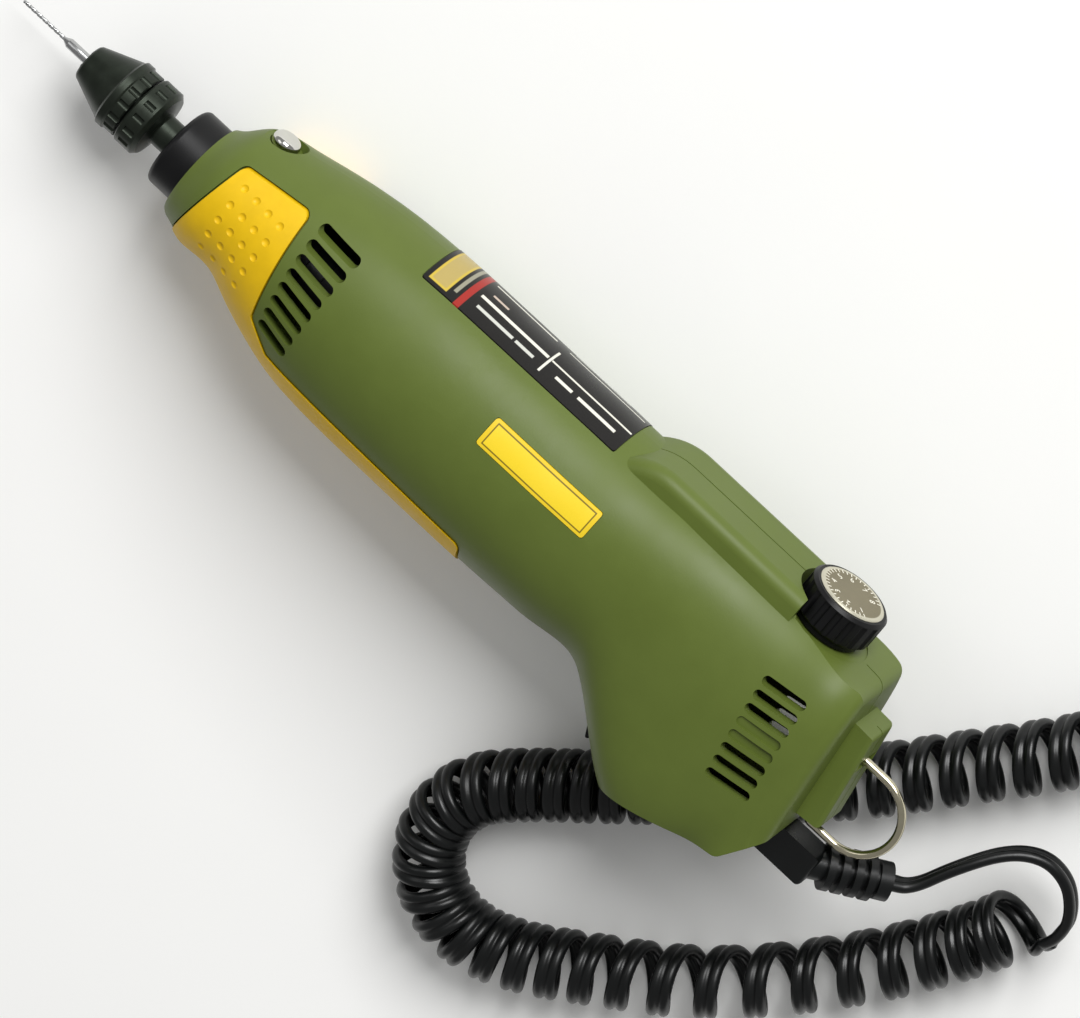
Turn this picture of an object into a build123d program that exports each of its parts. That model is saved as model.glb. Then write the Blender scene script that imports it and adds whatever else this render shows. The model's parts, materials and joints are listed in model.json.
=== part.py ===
from build123d import *
import math
import os

# Precision drill grinder, lying on its right flank with its rear on its own curly cord.
# Sizes are millimetres. In the tool's frame X runs rearwards along the spindle axis from the nose face,
# Y points to the back of the tool and Z out of its left flank, so the housing parts along the XY plane.

# Fits, as gaps on one side
seat_gap = 0.02
running_gap = 0.05
slide_gap = 0.2
swing_gap = 0.35
loose_gap = 0.15

# Half length of a cut that passes through the whole body
through = 40.0

# Housing
wall = 2.4
body_top = 25.5
body_belly = 24.5
body_half_width = 22.0
rear_half_width = 19.6
rear_top = body_top - 0.3
nose_solid = 9.0
bulge_corner = (155.0, -36.8)
bulge_heel = (183.2, -27.9)
rear_foot = (189.6, -17.2)
rear_brow = (185.4, 20.6)
ridge_end = (162.4, 22.4)
rear_rounding = 3.0
heel_rounding = 3.0
toe_reach = 30.0
ridge_top = body_top + 2.0
ridge_half_width = 11.5
ridge_start = 113.5
ridge_rise = 11.0
ridge_rounding = 3.0
ridge_stop = 5.5
seam_depth = 0.4
seam_half_width = 0.2

# Grip and plates
grip_depth = 1.2
grip_proud = 0.35
grip_groove = 0.45
grip_end = 98.0
grip_rounding = 1.8
dimple_radius = 0.95
dimple_depth = 0.4
dimple_columns = (13.0, 16.8, 20.6, 24.4)
dimple_rows = (10.6, 6.2, 1.8, -2.6, -7.0)
plate_depth = 0.25
plate_proud = 0.12
plate_rounding = 0.7
rating_start = 54.0
rating_length = 56.0
rating_half_width = 11.0
badge_middle = (102.5, 10.3)
badge_size = (30.6, 6.8)

# Vents
vent_count = 8
front_vent_top = 16.0
front_vent_pitch = 3.65
front_vent_width = 2.6
front_vent_end = 42.9
front_vent_first = 12.1
front_vent_shrink = 0.4
front_vent_lean = 1.6
rear_vent_first = (171.8, 11.5)
rear_vent_last = (175.3, -12.5)
rear_vent_length = 11.3
rear_vent_width = 2.4
rear_vent_slope = 10.0
blind_vents = (3, 4)
blind_depth = 0.8

# Collar, spindle and bearings
collar_radius = 10.0
collar_seat_radius = 9.7
collar_reach = 7.7
collar_rounding = 1.4
flange_radius = 12.0
flange_start = 4.5
flange_end = 7.0
spindle_radius = 4.0
spindle_rear_radius = 3.0
spindle_nose_radius = 2.5
spindle_nose_end = -17.0
spindle_shoulder = -8.4
spindle_rear_end = 32.0
front_bearing_start = -4.0
front_bearing_outer = 8.0
front_bearing_width = 5.0
rear_bearing_start = 20.0
rear_bearing_outer = 8.5
rear_bearing_width = 6.0
bearing_balls = 8
bearing_lip = 1.0
retainer_thickness = 1.0

# Chuck and drill bit
chuck_front = -34.3
chuck_sleeve_rear = -19.4
chuck_lip_radius = 8.65
chuck_band_radius = 8.3
chuck_front_radius = 4.5
chuck_core_radius = 5.4
chuck_ring_front = -18.9
chuck_ring_rear = -13.2
chuck_ring_radius = 8.6
chuck_hub_radius = 3.85
chuck_flutes = 14
chuck_flute_radius = 0.9
jaw_radius = 1.0
jaw_slope = 14.0
jaw_front = -34.6
jaw_rear = -25.5
jaw_tip_offset = 1.5
shank_radius = 1.175
shank_front = -40.6
bit_radius = 0.45
bit_tip = -54.0

# Spindle lock
lock_x = 11.0
lock_cap_radius = 3.4
lock_cap_top = 19.6
lock_cap_height = 4.0
lock_pin_radius = 1.5
lock_pin_tip = 5.2
lock_guide = (6.4, 9.0)
lock_recess_radius = 5.0
lock_recess_floor = 17.0
lock_spring_wire = 0.4
lock_spring_radius = 2.5
lock_spring_turns = 3

# Motor, coupling and fan
motor_radius = 18.0
motor_start = 52.0
motor_end = 102.0
motor_wall = 1.5
end_cap_end = 112.0
motor_shaft_radius = 2.5
motor_shaft_start = 37.2
motor_shaft_end = 114.0
bush_radius = 5.0
bush_length = 4.0
air_hole_radius = 2.4
magnet_thickness = 1.8
magnet_span = 130.0
armature_radius = 13.8
armature_start = 63.0
armature_end = 89.0
armature_slots = 8
winding_overhang = 6.0
commutator_radius = 5.5
commutator_start = 102.5
commutator_end = 107.5
brush_x = 105.0
coupling_radius = 7.0
coupling_start = 28.0
coupling_hub = 4.0
coupling_claw = 4.5
fan_start = 43.0
fan_end = 50.0
fan_radius = 16.5
fan_hub_radius = 6.0
fan_blades = 11
cradle_places = (54.5, 95.5)
cradle_thickness = 2.0

# Controls
knob_x = 167.4
knob_base = 21.6
knob_top = 30.8
knob_radius = 9.6
knob_base_radius = 8.2
knob_flutes = 18
knob_flute_radius = 0.95
dial_proud = 0.35
knob_disc_radius = 8.2
knob_recess_radius = 11.0
knob_recess_floor = 21.0
pot_radius = 8.0
pot_height = 7.0
pot_shaft_radius = 3.0
switch_middle = (142.4, -30.6)
switch_slope = 39.5
rocker_half_length = 5.0
rocker_half_width = 4.3
rocker_raised = 3.0
rocker_flush = 0.4
rocker_pivot_depth = 4.3
rocker_pin_radius = 1.0
rocker_end_gap = 0.9
switch_depth = 11.0
board_level = 4.0
board_start = 118.0
board_length = 40.0
board_half_width = 16.0
board_thickness = 1.6

# Rear lug, bail and cord relief
lug_top = (191.6, 12.0)
lug_foot = (195.2, -12.4)
lug_half_width = 6.5
lug_rounding = 1.2
bail_x = 191.0
bail_low = -15.4
bail_high = 4.2
bail_leg_end = 198.5
bail_wire_radius = 0.95
bail_bend = 1.2
slit_half_width = 5.2
relief_y = -22.9
relief_half = 4.0
relief_start = 180.0
relief_block_end = 199.5
relief_heading = (15.1, 4.9, -10.0)
relief_length = 18.5
relief_core_radius = 3.4
relief_rib_radius = 5.2
relief_ribs = 4
relief_first_rib = 3.4
relief_rib_pitch = 3.1
relief_rib_width = 1.7
relief_cap_radius = 4.4
relief_cap_length = 4.2

# Housing screws: places on the parting plane
screw_places = ((15.5, -9.0), (75.0, 20.9), (75.0, -20.9), (124.0, 18.0), (126.0, -16.4), (161.0, -30.5))
screw_radius = 1.1
screw_head_radius = 1.8
screw_head_height = 1.6
screw_head_level = -5.0
screw_boss_radius = 2.7
screw_reach = 6.0

# Curly cord: the route of its axis on the floor, then its turns
cord_radius = 1.8
curl_radius = 6.5
floor_clearance = 0.05
curl_route = (
    (242.3, -10.4), (239.2, -17.2), (236.0, -24.4), (229.9, -35.2), (220.7, -49.2), (206.5, -67.1),
    (192.8, -80.4), (177.0, -91.6), (162.0, -101.9), (150.0, -106.0), (139.1, -103.6), (131.5, -96.3),
    (128.6, -86.5), (130.9, -76.5), (138.9, -67.6), (154.0, -54.2), (168.6, -40.6), (182.9, -26.4),
    (196.2, -12.5), (209.2, 4.4), (224.2, 23.2), (235.0, 40.0), (240.0, 57.0), (240.0, 76.4),
)
curl_pitches = (
    6.0, 6.0, 6.3, 7.6, 9.4, 11.2, 11.2, 9.4, 7.4, 6.5, 6.2, 6.2,
    6.2, 6.2, 6.2, 6.3, 7.0, 7.8, 8.3, 8.4, 8.4, 8.2, 8.0, 8.0,
)
curl_steps = 40
curl_open_pitch = 90.0
curl_lead_fade = 2.5
curl_tail_fade = 5.0
curl_start_angle = 35.0
lead_first_run = 5.5
lead_route = (
    (221.0, -7.6, 25.4), (227.4, 1.8, 21.4), (234.4, 5.6, 18.8), (241.4, 4.2, 17.5), (246.2, -0.8, 16.4),
)
lead_last_run = 3.0
tail_first_run = 9.0
tail_route = ((256.5, 86.5, 2.2), (254.5, 94.0, 2.8), (247.0, 97.5, 3.6))
tail_last_run = 8.0
plug_middle = (222.0, 112.0)
plug_heading = (-0.80, 0.60)
plug_half_width = 8.0
plug_height = 9.0
plug_length = 24.0
plug_nose = 6.0
plug_pin_radius = 2.0
plug_pin_length = 14.0
plug_pin_spread = 4.5

# How the tool lies: rear raised by rest_tilt about Y, then moved so that its box stands on the origin
rest_tilt = 6.2
rest_shift = (-80.3945, 3.472)

# Housing outline: place on the axis, height to the back, depth to the belly, half width, and the fullness of
# the section over and under its middle
body_stations = (
    (0.0, 10.9, 12.2, 11.7, 0.56, 0.56),
    (2.2, 12.6, 13.2, 13.2, 0.56, 0.56),
    (4.4, 15.2, 13.8, 14.7, 0.56, 0.56),
    (7.0, 17.5, 14.5, 16.0, 0.56, 0.56),
    (11.0, 18.8, 14.3, 16.8, 0.56, 0.56),
    (16.0, 19.7, 14.3, 17.3, 0.56, 0.56),
    (22.0, 21.1, 16.8, 18.2, 0.56, 0.56),
    (30.0, body_top - 2.7, body_belly - 4.5, body_half_width - 2.5, 0.56, 0.56),
    (40.0, body_top - 1.2, body_belly - 1.6, body_half_width - 1.2, 0.56, 0.56),
    (52.0, body_top - 0.3, body_belly - 0.3, body_half_width - 0.4, 0.56, 0.56),
    (66.0, body_top, body_belly, body_half_width, 0.56, 0.56),
    (76.0, body_top, body_belly, body_half_width, 0.565, 0.565),
    (86.0, body_top, body_belly, body_half_width, 0.57, 0.57),
    (96.0, body_top, body_belly - 0.1, body_half_width - 0.1, 0.575, 0.575),
    (106.0, body_top, body_belly - 0.4, body_half_width - 0.2, 0.58, 0.58),
    (112.0, body_top - 0.1, body_belly - 0.65, body_half_width - 0.5, 0.59, 0.59),
    (118.0, body_top - 0.2, body_belly - 1.0, body_half_width - 0.8, 0.60, 0.60),
    (126.0, rear_top, body_belly - 2.2, rear_half_width + 1.0, 0.62, 0.62),
    (131.0, rear_top, body_belly - 2.0, rear_half_width + 0.7, 0.64, 0.65),
    (136.0, rear_top, 25.3, rear_half_width + 0.4, 0.65, 0.70),
    (142.0, rear_top, 30.3, rear_half_width + 0.2, 0.67, 0.76),
    (149.0, rear_top, 36.4, rear_half_width + 0.1, 0.69, 0.82),
    (156.0, rear_top, 41.2, rear_half_width, 0.70, 0.85),
    (168.0, rear_top, 42.0, rear_half_width, 0.72, 0.85),
    (182.0, rear_top, 41.0, rear_half_width, 0.74, 0.85),
    (200.0, rear_top, 40.0, rear_half_width, 0.74, 0.85),
)

bulge_fall = (bulge_heel[1] - bulge_corner[1]) / (bulge_heel[0] - bulge_corner[0])
bulge_toe = (bulge_corner[0] - toe_reach, bulge_corner[1] - toe_reach * bulge_fall)

os.makedirs("parts", exist_ok=True)

tilt_sin = math.sin(math.radians(rest_tilt))
tilt_cos = math.cos(math.radians(rest_tilt))
rest_lift = max(half * tilt_cos - x * tilt_sin for x, _, _, half, *_ in body_stations) + floor_clearance
at_rest = Location((*rest_shift, rest_lift), (0, -rest_tilt, 0))


def hand_over(piece, name):
    """Lay a finished piece down with the rest of the tool, label it and write it."""
    piece.part.location = at_rest
    piece.part.label = name
    export_step(piece.part, f"parts/{name}.step")


def across(x):
    """Plane square to the spindle axis at x, with Y of the tool as its first direction."""
    return Plane(origin=(x, 0, 0), x_dir=(0, 1, 0), z_dir=(1, 0, 0))


def along_back(x, y):
    """Plane square to the tool's Y direction at (x, y), with X as its first direction."""
    return Plane(origin=(x, y, 0), x_dir=(1, 0, 0), z_dir=(0, 1, 0))


def turn(*outline, mode=Mode.ADD):
    """Turn an outline of (x, radius) corners about the spindle axis."""
    with BuildSketch() as profile:
        with BuildLine():
            Polyline(*outline, close=True)
        make_face()
    revolve(profile.sketch, axis=Axis.X, mode=mode)


def prism(*outline, half_width, rounding=0, mode=Mode.ADD):
    """Prism over an outline of (x, y) corners, as wide to the left as to the right."""
    with BuildSketch() as profile:
        with BuildLine():
            Polyline(*outline, close=True)
        make_face()
        if rounding:
            fillet(profile.vertices(), rounding)
    extrude(profile.sketch, amount=half_width, both=True, mode=mode)


def post(x, y, z, radius, height, mode=Mode.ADD):
    """Round post of the given height whose foot is at (x, y, z) and which stands along Z."""
    with BuildSketch(Plane.XY.offset(z)) as foot:
        with Locations((x, y)):
            Circle(radius)
    extrude(foot.sketch, amount=height, mode=mode)


def stem(x, low, high, radius, mode=Mode.ADD):
    """Round stem along Y between two heights over the spindle axis at x."""
    with BuildSketch(along_back(x, low)) as foot:
        Circle(radius)
    extrude(foot.sketch, amount=high - low, mode=mode)


def body_form(inset):
    """Smooth body through the stations, drawn in by inset; each section is four curves."""
    with BuildPart() as form:
        for x, top, belly, half, over, under in body_stations:
            middle = (top - belly) / 2
            height = (top + belly) / 2 - inset
            width = half - inset
            with BuildSketch(across(x)):
                with BuildLine():
                    for up, out in ((1, 1), (-1, 1), (-1, -1), (1, -1)):
                        fullness = over if up > 0 else under
                        corner = (
                            (middle + up * height, 0),
                            (middle + up * height, out * fullness * width),
                            (middle + up * fullness * height, out * width),
                            (middle, out * width),
                        )
                        Bezier(*(corner if up == out else corner[::-1]))
                make_face()
        loft()
    return form.part


def side_outline(inset):
    """Side view that trims the body behind the knob and round the rear bulge, drawn in by inset."""
    with BuildSketch() as outline:
        with BuildLine():
            Polyline(
                (-20, -60), (-20, 60), (ridge_end[0] - 1.5, 60), ridge_end, rear_brow, rear_foot,
                bulge_heel, bulge_toe, close=True,
            )
        make_face()
        if inset:
            offset(amount=-inset, kind=Kind.INTERSECTION, mode=Mode.REPLACE)
        else:
            fillet(outline.vertices().sort_by_distance((*bulge_heel, 0))[0], heel_rounding)
    return outline.sketch


def between(outer_inset, inner_inset):
    """Skin of the smooth body between two insets."""
    with BuildPart() as skin:
        add(body_form(outer_inset))
        add(body_form(inner_inset), mode=Mode.SUBTRACT)
    return skin.part


def half_of(whole, side):
    """The left or the right half of a piece that the parting plane cuts."""
    with BuildPart() as half:
        add(whole)
        split(bisect_by=Plane.XY, keep=side)
    return half


def ring_of(count, radius, start=0):
    """Places on a circle round the spindle axis, as (y, z, angle)."""
    for index in range(count):
        angle = math.radians(start + 360 * index / count)
        yield radius * math.cos(angle), radius * math.sin(angle), math.degrees(angle)


def wound_line(point, first, last, quarter=math.pi / 2):
    """Biarcs through a winding, point(angle) from first to last, a quarter turn each."""
    step = 0.01
    count = round((last - first) / quarter)
    angles = [first + (last - first) * index / count for index in range(count + 1)]
    places = [point(angle) for angle in angles]
    headings = [(point(angle + step) - point(angle - step)).normalized() for angle in angles]
    with BuildLine() as line:
        for start, end, leave, arrive in zip(places, places[1:], headings, headings[1:]):
            span = end - start
            both = leave + arrive
            bend = 2 * (1 - leave.dot(arrive))
            reach = (math.sqrt(span.dot(both) ** 2 + bend * span.dot(span)) - span.dot(both)) / bend
            middle = (start + end + (leave - arrive) * reach) * 0.5
            turned = (end - arrive * reach - start - leave * reach).normalized()
            TangentArc(start, middle, tangent=leave)
            TangentArc(middle, end, tangent=turned)
    return line.wire(), headings[0], headings[-1]


def least_gap(points, far, width):
    """Least gap of a tube of the given width to itself, over points further apart than far on it."""
    return min(
        (points[one] - points[other]).length
        for one in range(len(points))
        for other in range(one + far, min(one + 4 * far, len(points)))
    ) - width


# Outer form of the whole housing, before it is hollowed and parted
with BuildPart() as housing_form:
    add(body_form(0))
    extrude(side_outline(0), amount=through, both=True, mode=Mode.INTERSECT)
    cut_faces = housing_form.faces().filter_by(GeomType.PLANE).filter_by(
        lambda face: face.center().X > bulge_corner[0])
    fillet(cut_faces.sort_by(Axis.X)[-1].edges(), rear_rounding)
    with BuildSketch() as ridge_side:
        with BuildLine():
            ridge_front = (ridge_start - 7, body_top - 9)
            ridge_crest = (ridge_start + ridge_rise, ridge_top)
            Spline(ridge_front, ridge_crest, tangents=((1, 1), (1, 0)))
            ridge_rear = knob_x - ridge_stop
            Polyline(ridge_crest, (ridge_rear, ridge_top), (ridge_rear, ridge_front[1]), ridge_front)
        make_face()
    with BuildPart(mode=Mode.PRIVATE) as ridge:
        extrude(ridge_side.sketch, amount=ridge_half_width, both=True)
        fillet(ridge.faces().sort_by(Axis.Y)[-2:].edges().filter_by(lambda e: abs(e.center().Z) > 1),
               ridge_rounding)
    add(ridge.part)
    stem(knob_x, knob_recess_floor, ridge_top + 10, knob_recess_radius, mode=Mode.SUBTRACT)
    lug_side = (
        (rear_brow[0] - 3, lug_top[1] + 0.4), lug_top, lug_foot, (rear_foot[0] - 4, lug_foot[1] - 0.8),
    )
    with BuildPart(mode=Mode.PRIVATE) as lug:
        prism(*lug_side, half_width=lug_half_width)
        fillet(lug.faces().sort_by(Axis.X)[-1].edges(), lug_rounding)
    add(lug.part)

# Groove along the parting line: over the ridge, round the brow behind the knob and over the lug
with BuildSketch() as brow_side:
    with BuildLine():
        Polyline(ridge_end, rear_brow, rear_foot, close=True)
    make_face()
    fillet(brow_side.vertices().sort_by_distance((*rear_brow, 0))[0], rear_rounding)
with BuildSketch() as lug_outline:
    with BuildLine():
        Polyline(*lug_side, close=True)
    make_face()
recess_rear = knob_x + knob_recess_radius
seam_strips = (
    (ridge_side.sketch, 0, (ridge_start + 1, ridge_top - 8), (ridge_rear, ridge_top + 1)),
    (brow_side.sketch, -seam_depth, (recess_rear + 1, lug_top[1] + 1), (rear_foot[0], ridge_top)),
    (lug_outline.sketch, -seam_depth, (rear_foot[0], lug_foot[1]), (lug_foot[0] + 1, ridge_top)),
)
with BuildPart() as seam:
    for outline, forwards, low, high in seam_strips:
        with BuildSketch() as strip:
            with BuildLine():
                Polyline(low, (high[0], low[1]), high, (low[0], high[1]), close=True)
            make_face()
            add(outline, mode=Mode.INTERSECT)
            add(outline.moved(Location((forwards, -seam_depth, 0))), mode=Mode.SUBTRACT)
        extrude(strip.sketch, amount=seam_half_width, both=True)

# Room inside the housing, less the seats that stand in it
with BuildPart() as room:
    add(body_form(wall))
    extrude(side_outline(wall), amount=through, both=True, mode=Mode.INTERSECT)
    with Locations((nose_solid - 50, 0, 0)):
        Box(100, 100, 100, mode=Mode.SUBTRACT)
    stem(knob_x, knob_recess_floor - wall, ridge_top + 10, knob_recess_radius + wall, mode=Mode.SUBTRACT)
    stem(lock_x, lock_guide[0], ridge_top, lock_cap_radius + slide_gap + 2, mode=Mode.SUBTRACT)

# Ribs that carry the rear bearing and the motor, and bosses for the screws
rear_bearing_end = rear_bearing_start + rear_bearing_width
rail_height = 1.6
board_middle = board_start + board_length / 2
with BuildPart() as ribs:
    bearing_rib = rear_bearing_width + 2.4
    with Locations(((rear_bearing_start + rear_bearing_end) / 2, 0, 0)):
        Box(bearing_rib, 100, 100)
    with Locations(*((x, 0, 0) for x in cradle_places)):
        Box(cradle_thickness, 100, 100)
    for x, y in screw_places:
        post(x, y, -through, screw_boss_radius, 2 * through)
    for level in (board_level - rail_height / 2, board_level + board_thickness + rail_height / 2):
        with Locations(*((board_middle, level, side * board_half_width) for side in (-1, 1))):
            Box(board_length, rail_height, 4)
    add(room.part, mode=Mode.INTERSECT)
    lip = rear_bearing_outer - bearing_lip
    turn((rear_bearing_start - 2, 0), (rear_bearing_start - 2, lip), (rear_bearing_start, lip),
         (rear_bearing_start, rear_bearing_outer + seat_gap),
         (rear_bearing_end, rear_bearing_outer + seat_gap), (rear_bearing_end, lip),
         (rear_bearing_end + 2, lip), (rear_bearing_end + 2, 0), mode=Mode.SUBTRACT)
    turn((cradle_places[0] - 2, 0), (cradle_places[0] - 2, motor_radius + seat_gap),
         (cradle_places[1] + 2, motor_radius + seat_gap), (cradle_places[1] + 2, 0), mode=Mode.SUBTRACT)
    for x in cradle_places:
        for side in (-1, 1):
            with Locations((x, side * 20, 8), (x, side * 20, -8)):
                Box(cradle_thickness + 1, 20, 6, mode=Mode.SUBTRACT)

# Regions of the grip, the plates and the vents, seen from the flank or from above
grip_region = (
    (4.5, -40), (4.5, -12), (9.6, 13.2), (27.4, 16.2), (31.6, -10.0), (39.0, -15.2), (grip_end, -16.5),
    (grip_end, -40),
)


def grip_prism(growth):
    """Block that cuts the grip's outline through the whole body, grown by the groove round it."""
    with BuildPart() as block:
        with BuildSketch() as outline:
            with BuildLine():
                Polyline(*grip_region, close=True)
            make_face()
            fillet(outline.vertices().filter_by(lambda v: v.Y > -30), grip_rounding)
            if growth:
                offset(amount=growth, mode=Mode.REPLACE)
        extrude(outline.sketch, amount=through, both=True)
    return block.part


def back_block(start, length, half_width):
    """Block over the back that cuts the outline of the rating plate."""
    with BuildPart() as block:
        with BuildSketch(along_back(start + length / 2, 5)) as outline:
            RectangleRounded(length, 2 * half_width, plate_rounding)
        extrude(outline.sketch, amount=through)
    return block.part


def flank_block(growth):
    """Block on the left flank that cuts the outline of the name plate."""
    with BuildPart() as block:
        with BuildSketch() as outline:
            with Locations(badge_middle):
                RectangleRounded(badge_size[0] + 2 * growth, badge_size[1] + 2 * growth, plate_rounding)
        extrude(outline.sketch, amount=through)
    return block.part


badge_recess = flank_block(loose_gap)
rating_recess = back_block(rating_start - loose_gap, rating_length + 2 * loose_gap,
                           rating_half_width + loose_gap)
slope_sin = math.sin(math.radians(switch_slope))
slope_cos = math.cos(math.radians(switch_slope))
switch_plane = Plane(origin=(*switch_middle, 0), x_dir=(slope_cos, -slope_sin, 0),
                     z_dir=(-slope_sin, -slope_cos, 0))
window_half_length = rocker_half_length + rocker_end_gap
window_half_width = rocker_half_width + swing_gap
collar_seat = collar_seat_radius + seat_gap

# Whole housing before it is parted
with BuildPart() as housing:
    add(housing_form.part)
    add(room.part, mode=Mode.SUBTRACT)
    add(ribs.part)
    turn((-20, 0), (-20, collar_seat), (flange_start, collar_seat), (flange_start, flange_radius + seat_gap),
         (flange_end, flange_radius + seat_gap), (flange_end, collar_radius - 1),
         (nose_solid + 5, collar_radius - 1), (nose_solid + 5, 0), mode=Mode.SUBTRACT)
    with BuildPart(mode=Mode.PRIVATE) as shallow:
        with BuildPart(mode=Mode.PRIVATE) as plates:
            add(rating_recess)
            add(badge_recess)
        add(between(-2, plate_depth + seat_gap))
        add(plates.part, mode=Mode.INTERSECT)
    add(shallow.part, mode=Mode.SUBTRACT)
    with BuildPart(mode=Mode.PRIVATE) as pocket:
        add(between(-2, grip_depth + seat_gap))
        add(grip_prism(grip_groove), mode=Mode.INTERSECT)
    add(pocket.part, mode=Mode.SUBTRACT)
    for index in range(vent_count):
        length = front_vent_first - front_vent_shrink * index
        height = front_vent_top - front_vent_pitch * index
        with BuildSketch() as slot:
            with Locations((front_vent_end - length / 2, height)):
                SlotOverall(length, front_vent_width, rotation=-front_vent_lean * index)
        extrude(slot.sketch, amount=through, both=True, mode=Mode.SUBTRACT)
    for index in range(vent_count):
        share = index / (vent_count - 1)
        middle = tuple(one + (two - one) * share for one, two in zip(rear_vent_first, rear_vent_last))
        with BuildSketch() as slot:
            with Locations(middle):
                SlotOverall(rear_vent_length, rear_vent_width, rotation=rear_vent_slope)
        if index in blind_vents:
            for side in (-1, 1):
                level = side * (rear_half_width - blind_depth)
                extrude(slot.sketch.moved(Location((0, 0, level))), amount=side * 20, mode=Mode.SUBTRACT)
        else:
            extrude(slot.sketch, amount=through, both=True, mode=Mode.SUBTRACT)
    add(seam.part, mode=Mode.SUBTRACT)
    stem(lock_x, lock_recess_floor, ridge_top, lock_recess_radius, mode=Mode.SUBTRACT)
    stem(lock_x, lock_guide[1], ridge_top, lock_cap_radius + slide_gap, mode=Mode.SUBTRACT)
    stem(lock_x, 0, ridge_top, lock_pin_radius + running_gap, mode=Mode.SUBTRACT)
    stem(knob_x, 0, ridge_top, pot_shaft_radius + 1 + slide_gap, mode=Mode.SUBTRACT)
    with BuildSketch(switch_plane.offset(-6)) as window:
        Rectangle(2 * window_half_length, 2 * window_half_width)
    extrude(window.sketch, amount=20, mode=Mode.SUBTRACT)
    with BuildSketch(along_back(bail_x, bail_low)) as bar_hole:
        Circle(bail_wire_radius + loose_gap)
    extrude(bar_hole.sketch, amount=bail_high - bail_low + bail_wire_radius + swing_gap, mode=Mode.SUBTRACT)
    slit = bail_wire_radius + swing_gap
    prism((bail_x - slit, bail_high - slit), (bail_x - slit, bail_high + slit),
          (bail_x + 10, bail_high + slit), (bail_x + 10, bail_high - slit), half_width=slit_half_width,
          mode=Mode.SUBTRACT)
    relief_hole = relief_half + seat_gap
    prism((relief_start, relief_y - relief_hole), (relief_start, relief_y + relief_hole),
          (200, relief_y + relief_hole), (200, relief_y - relief_hole), half_width=relief_hole,
          mode=Mode.SUBTRACT)
    for x, y in screw_places:
        post(x, y, -through, screw_radius + seat_gap, through + screw_reach, mode=Mode.SUBTRACT)
        post(x, y, -through, screw_head_radius + slide_gap, through + screw_head_level,
             mode=Mode.SUBTRACT)

housing_left = half_of(housing.part, Keep.TOP)
housing_right = half_of(housing.part, Keep.BOTTOM)
hand_over(housing_left, "housing_left")
hand_over(housing_right, "housing_right")

# Soft grip, moulded on each half, with rows of dimples on its flanks
dimple_ball = (dimple_radius ** 2 + dimple_depth ** 2) / (2 * dimple_depth)
with BuildPart() as grip:
    add(between(-grip_proud, grip_depth))
    add(grip_prism(0), mode=Mode.INTERSECT)
    hollows = []
    for x in dimple_columns:
        for y in dimple_rows:
            touched = grip.part.find_intersection_points(Axis((x, y, 0), (0, 0, 1)))
            place, outwards = max(touched, key=lambda pair: pair[0].Z)
            middle = place + outwards * (dimple_ball - dimple_depth)
            hollows += [(middle.X, middle.Y, middle.Z), (middle.X, middle.Y, -middle.Z)]
    with Locations(*hollows):
        Sphere(dimple_ball, mode=Mode.SUBTRACT)
    for x, y in screw_places:
        post(x, y, -through, screw_head_radius + slide_gap, through + screw_head_level,
             mode=Mode.SUBTRACT)
hand_over(half_of(grip.part, Keep.TOP), "grip_left")
hand_over(half_of(grip.part, Keep.BOTTOM), "grip_right")

# Rating plate on the back and name plate on the left flank, both bare
with BuildPart() as rating_plate:
    add(between(-plate_proud, plate_depth))
    add(back_block(rating_start, rating_length, rating_half_width), mode=Mode.INTERSECT)
hand_over(rating_plate, "rating_plate")
with BuildPart() as name_plate:
    add(between(-plate_proud, plate_depth))
    add(flank_block(0), mode=Mode.INTERSECT)
hand_over(name_plate, "name_plate")

# Screws that hold the halves together
with BuildPart() as housing_screws:
    for x, y in screw_places:
        post(x, y, screw_head_level, screw_radius, screw_reach - screw_head_level - 0.5)
        post(x, y, screw_head_level - screw_head_height, screw_head_radius, screw_head_height)
        with Locations((x, y, screw_head_level - screw_head_height)):
            for width, length in ((0.5, 2.2), (2.2, 0.5)):
                Box(width, length, 1.6, mode=Mode.SUBTRACT)
hand_over(housing_screws, "housing_screws")

# Nose collar with its flange, the front bearing's seat and the groove of its retaining ring
front_bearing_end = front_bearing_start + front_bearing_width
retainer_start = front_bearing_end + running_gap
retainer_end = retainer_start + retainer_thickness
retainer_outer = front_bearing_outer + 0.5
seat = front_bearing_outer + seat_gap
with BuildPart() as nose_collar:
    turn((-collar_reach, spindle_radius + 0.6), (-collar_reach, collar_radius), (0, collar_radius),
         (0, collar_seat_radius), (flange_start, collar_seat_radius),
         (flange_start, flange_radius), (flange_end, flange_radius), (flange_end, seat),
         (retainer_end + seat_gap, seat), (retainer_end + seat_gap, retainer_outer + seat_gap),
         (retainer_start - seat_gap, retainer_outer + seat_gap), (retainer_start - seat_gap, seat),
         (front_bearing_start, seat), (front_bearing_start, spindle_radius + 0.6))
    fillet(nose_collar.edges().filter_by(GeomType.CIRCLE).group_by(Axis.X)[0].sort_by(SortBy.RADIUS)[-1],
           collar_rounding)
hand_over(nose_collar, "nose_collar")
with BuildPart() as bearing_retainer:
    turn((retainer_start, seat - 1.2), (retainer_start, retainer_outer), (retainer_end, retainer_outer),
         (retainer_end, seat - 1.2))
    with Locations((retainer_start, 0, -front_bearing_outer)):
        Box(4, 3, 4, mode=Mode.SUBTRACT)
hand_over(bearing_retainer, "bearing_retainer")

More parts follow.
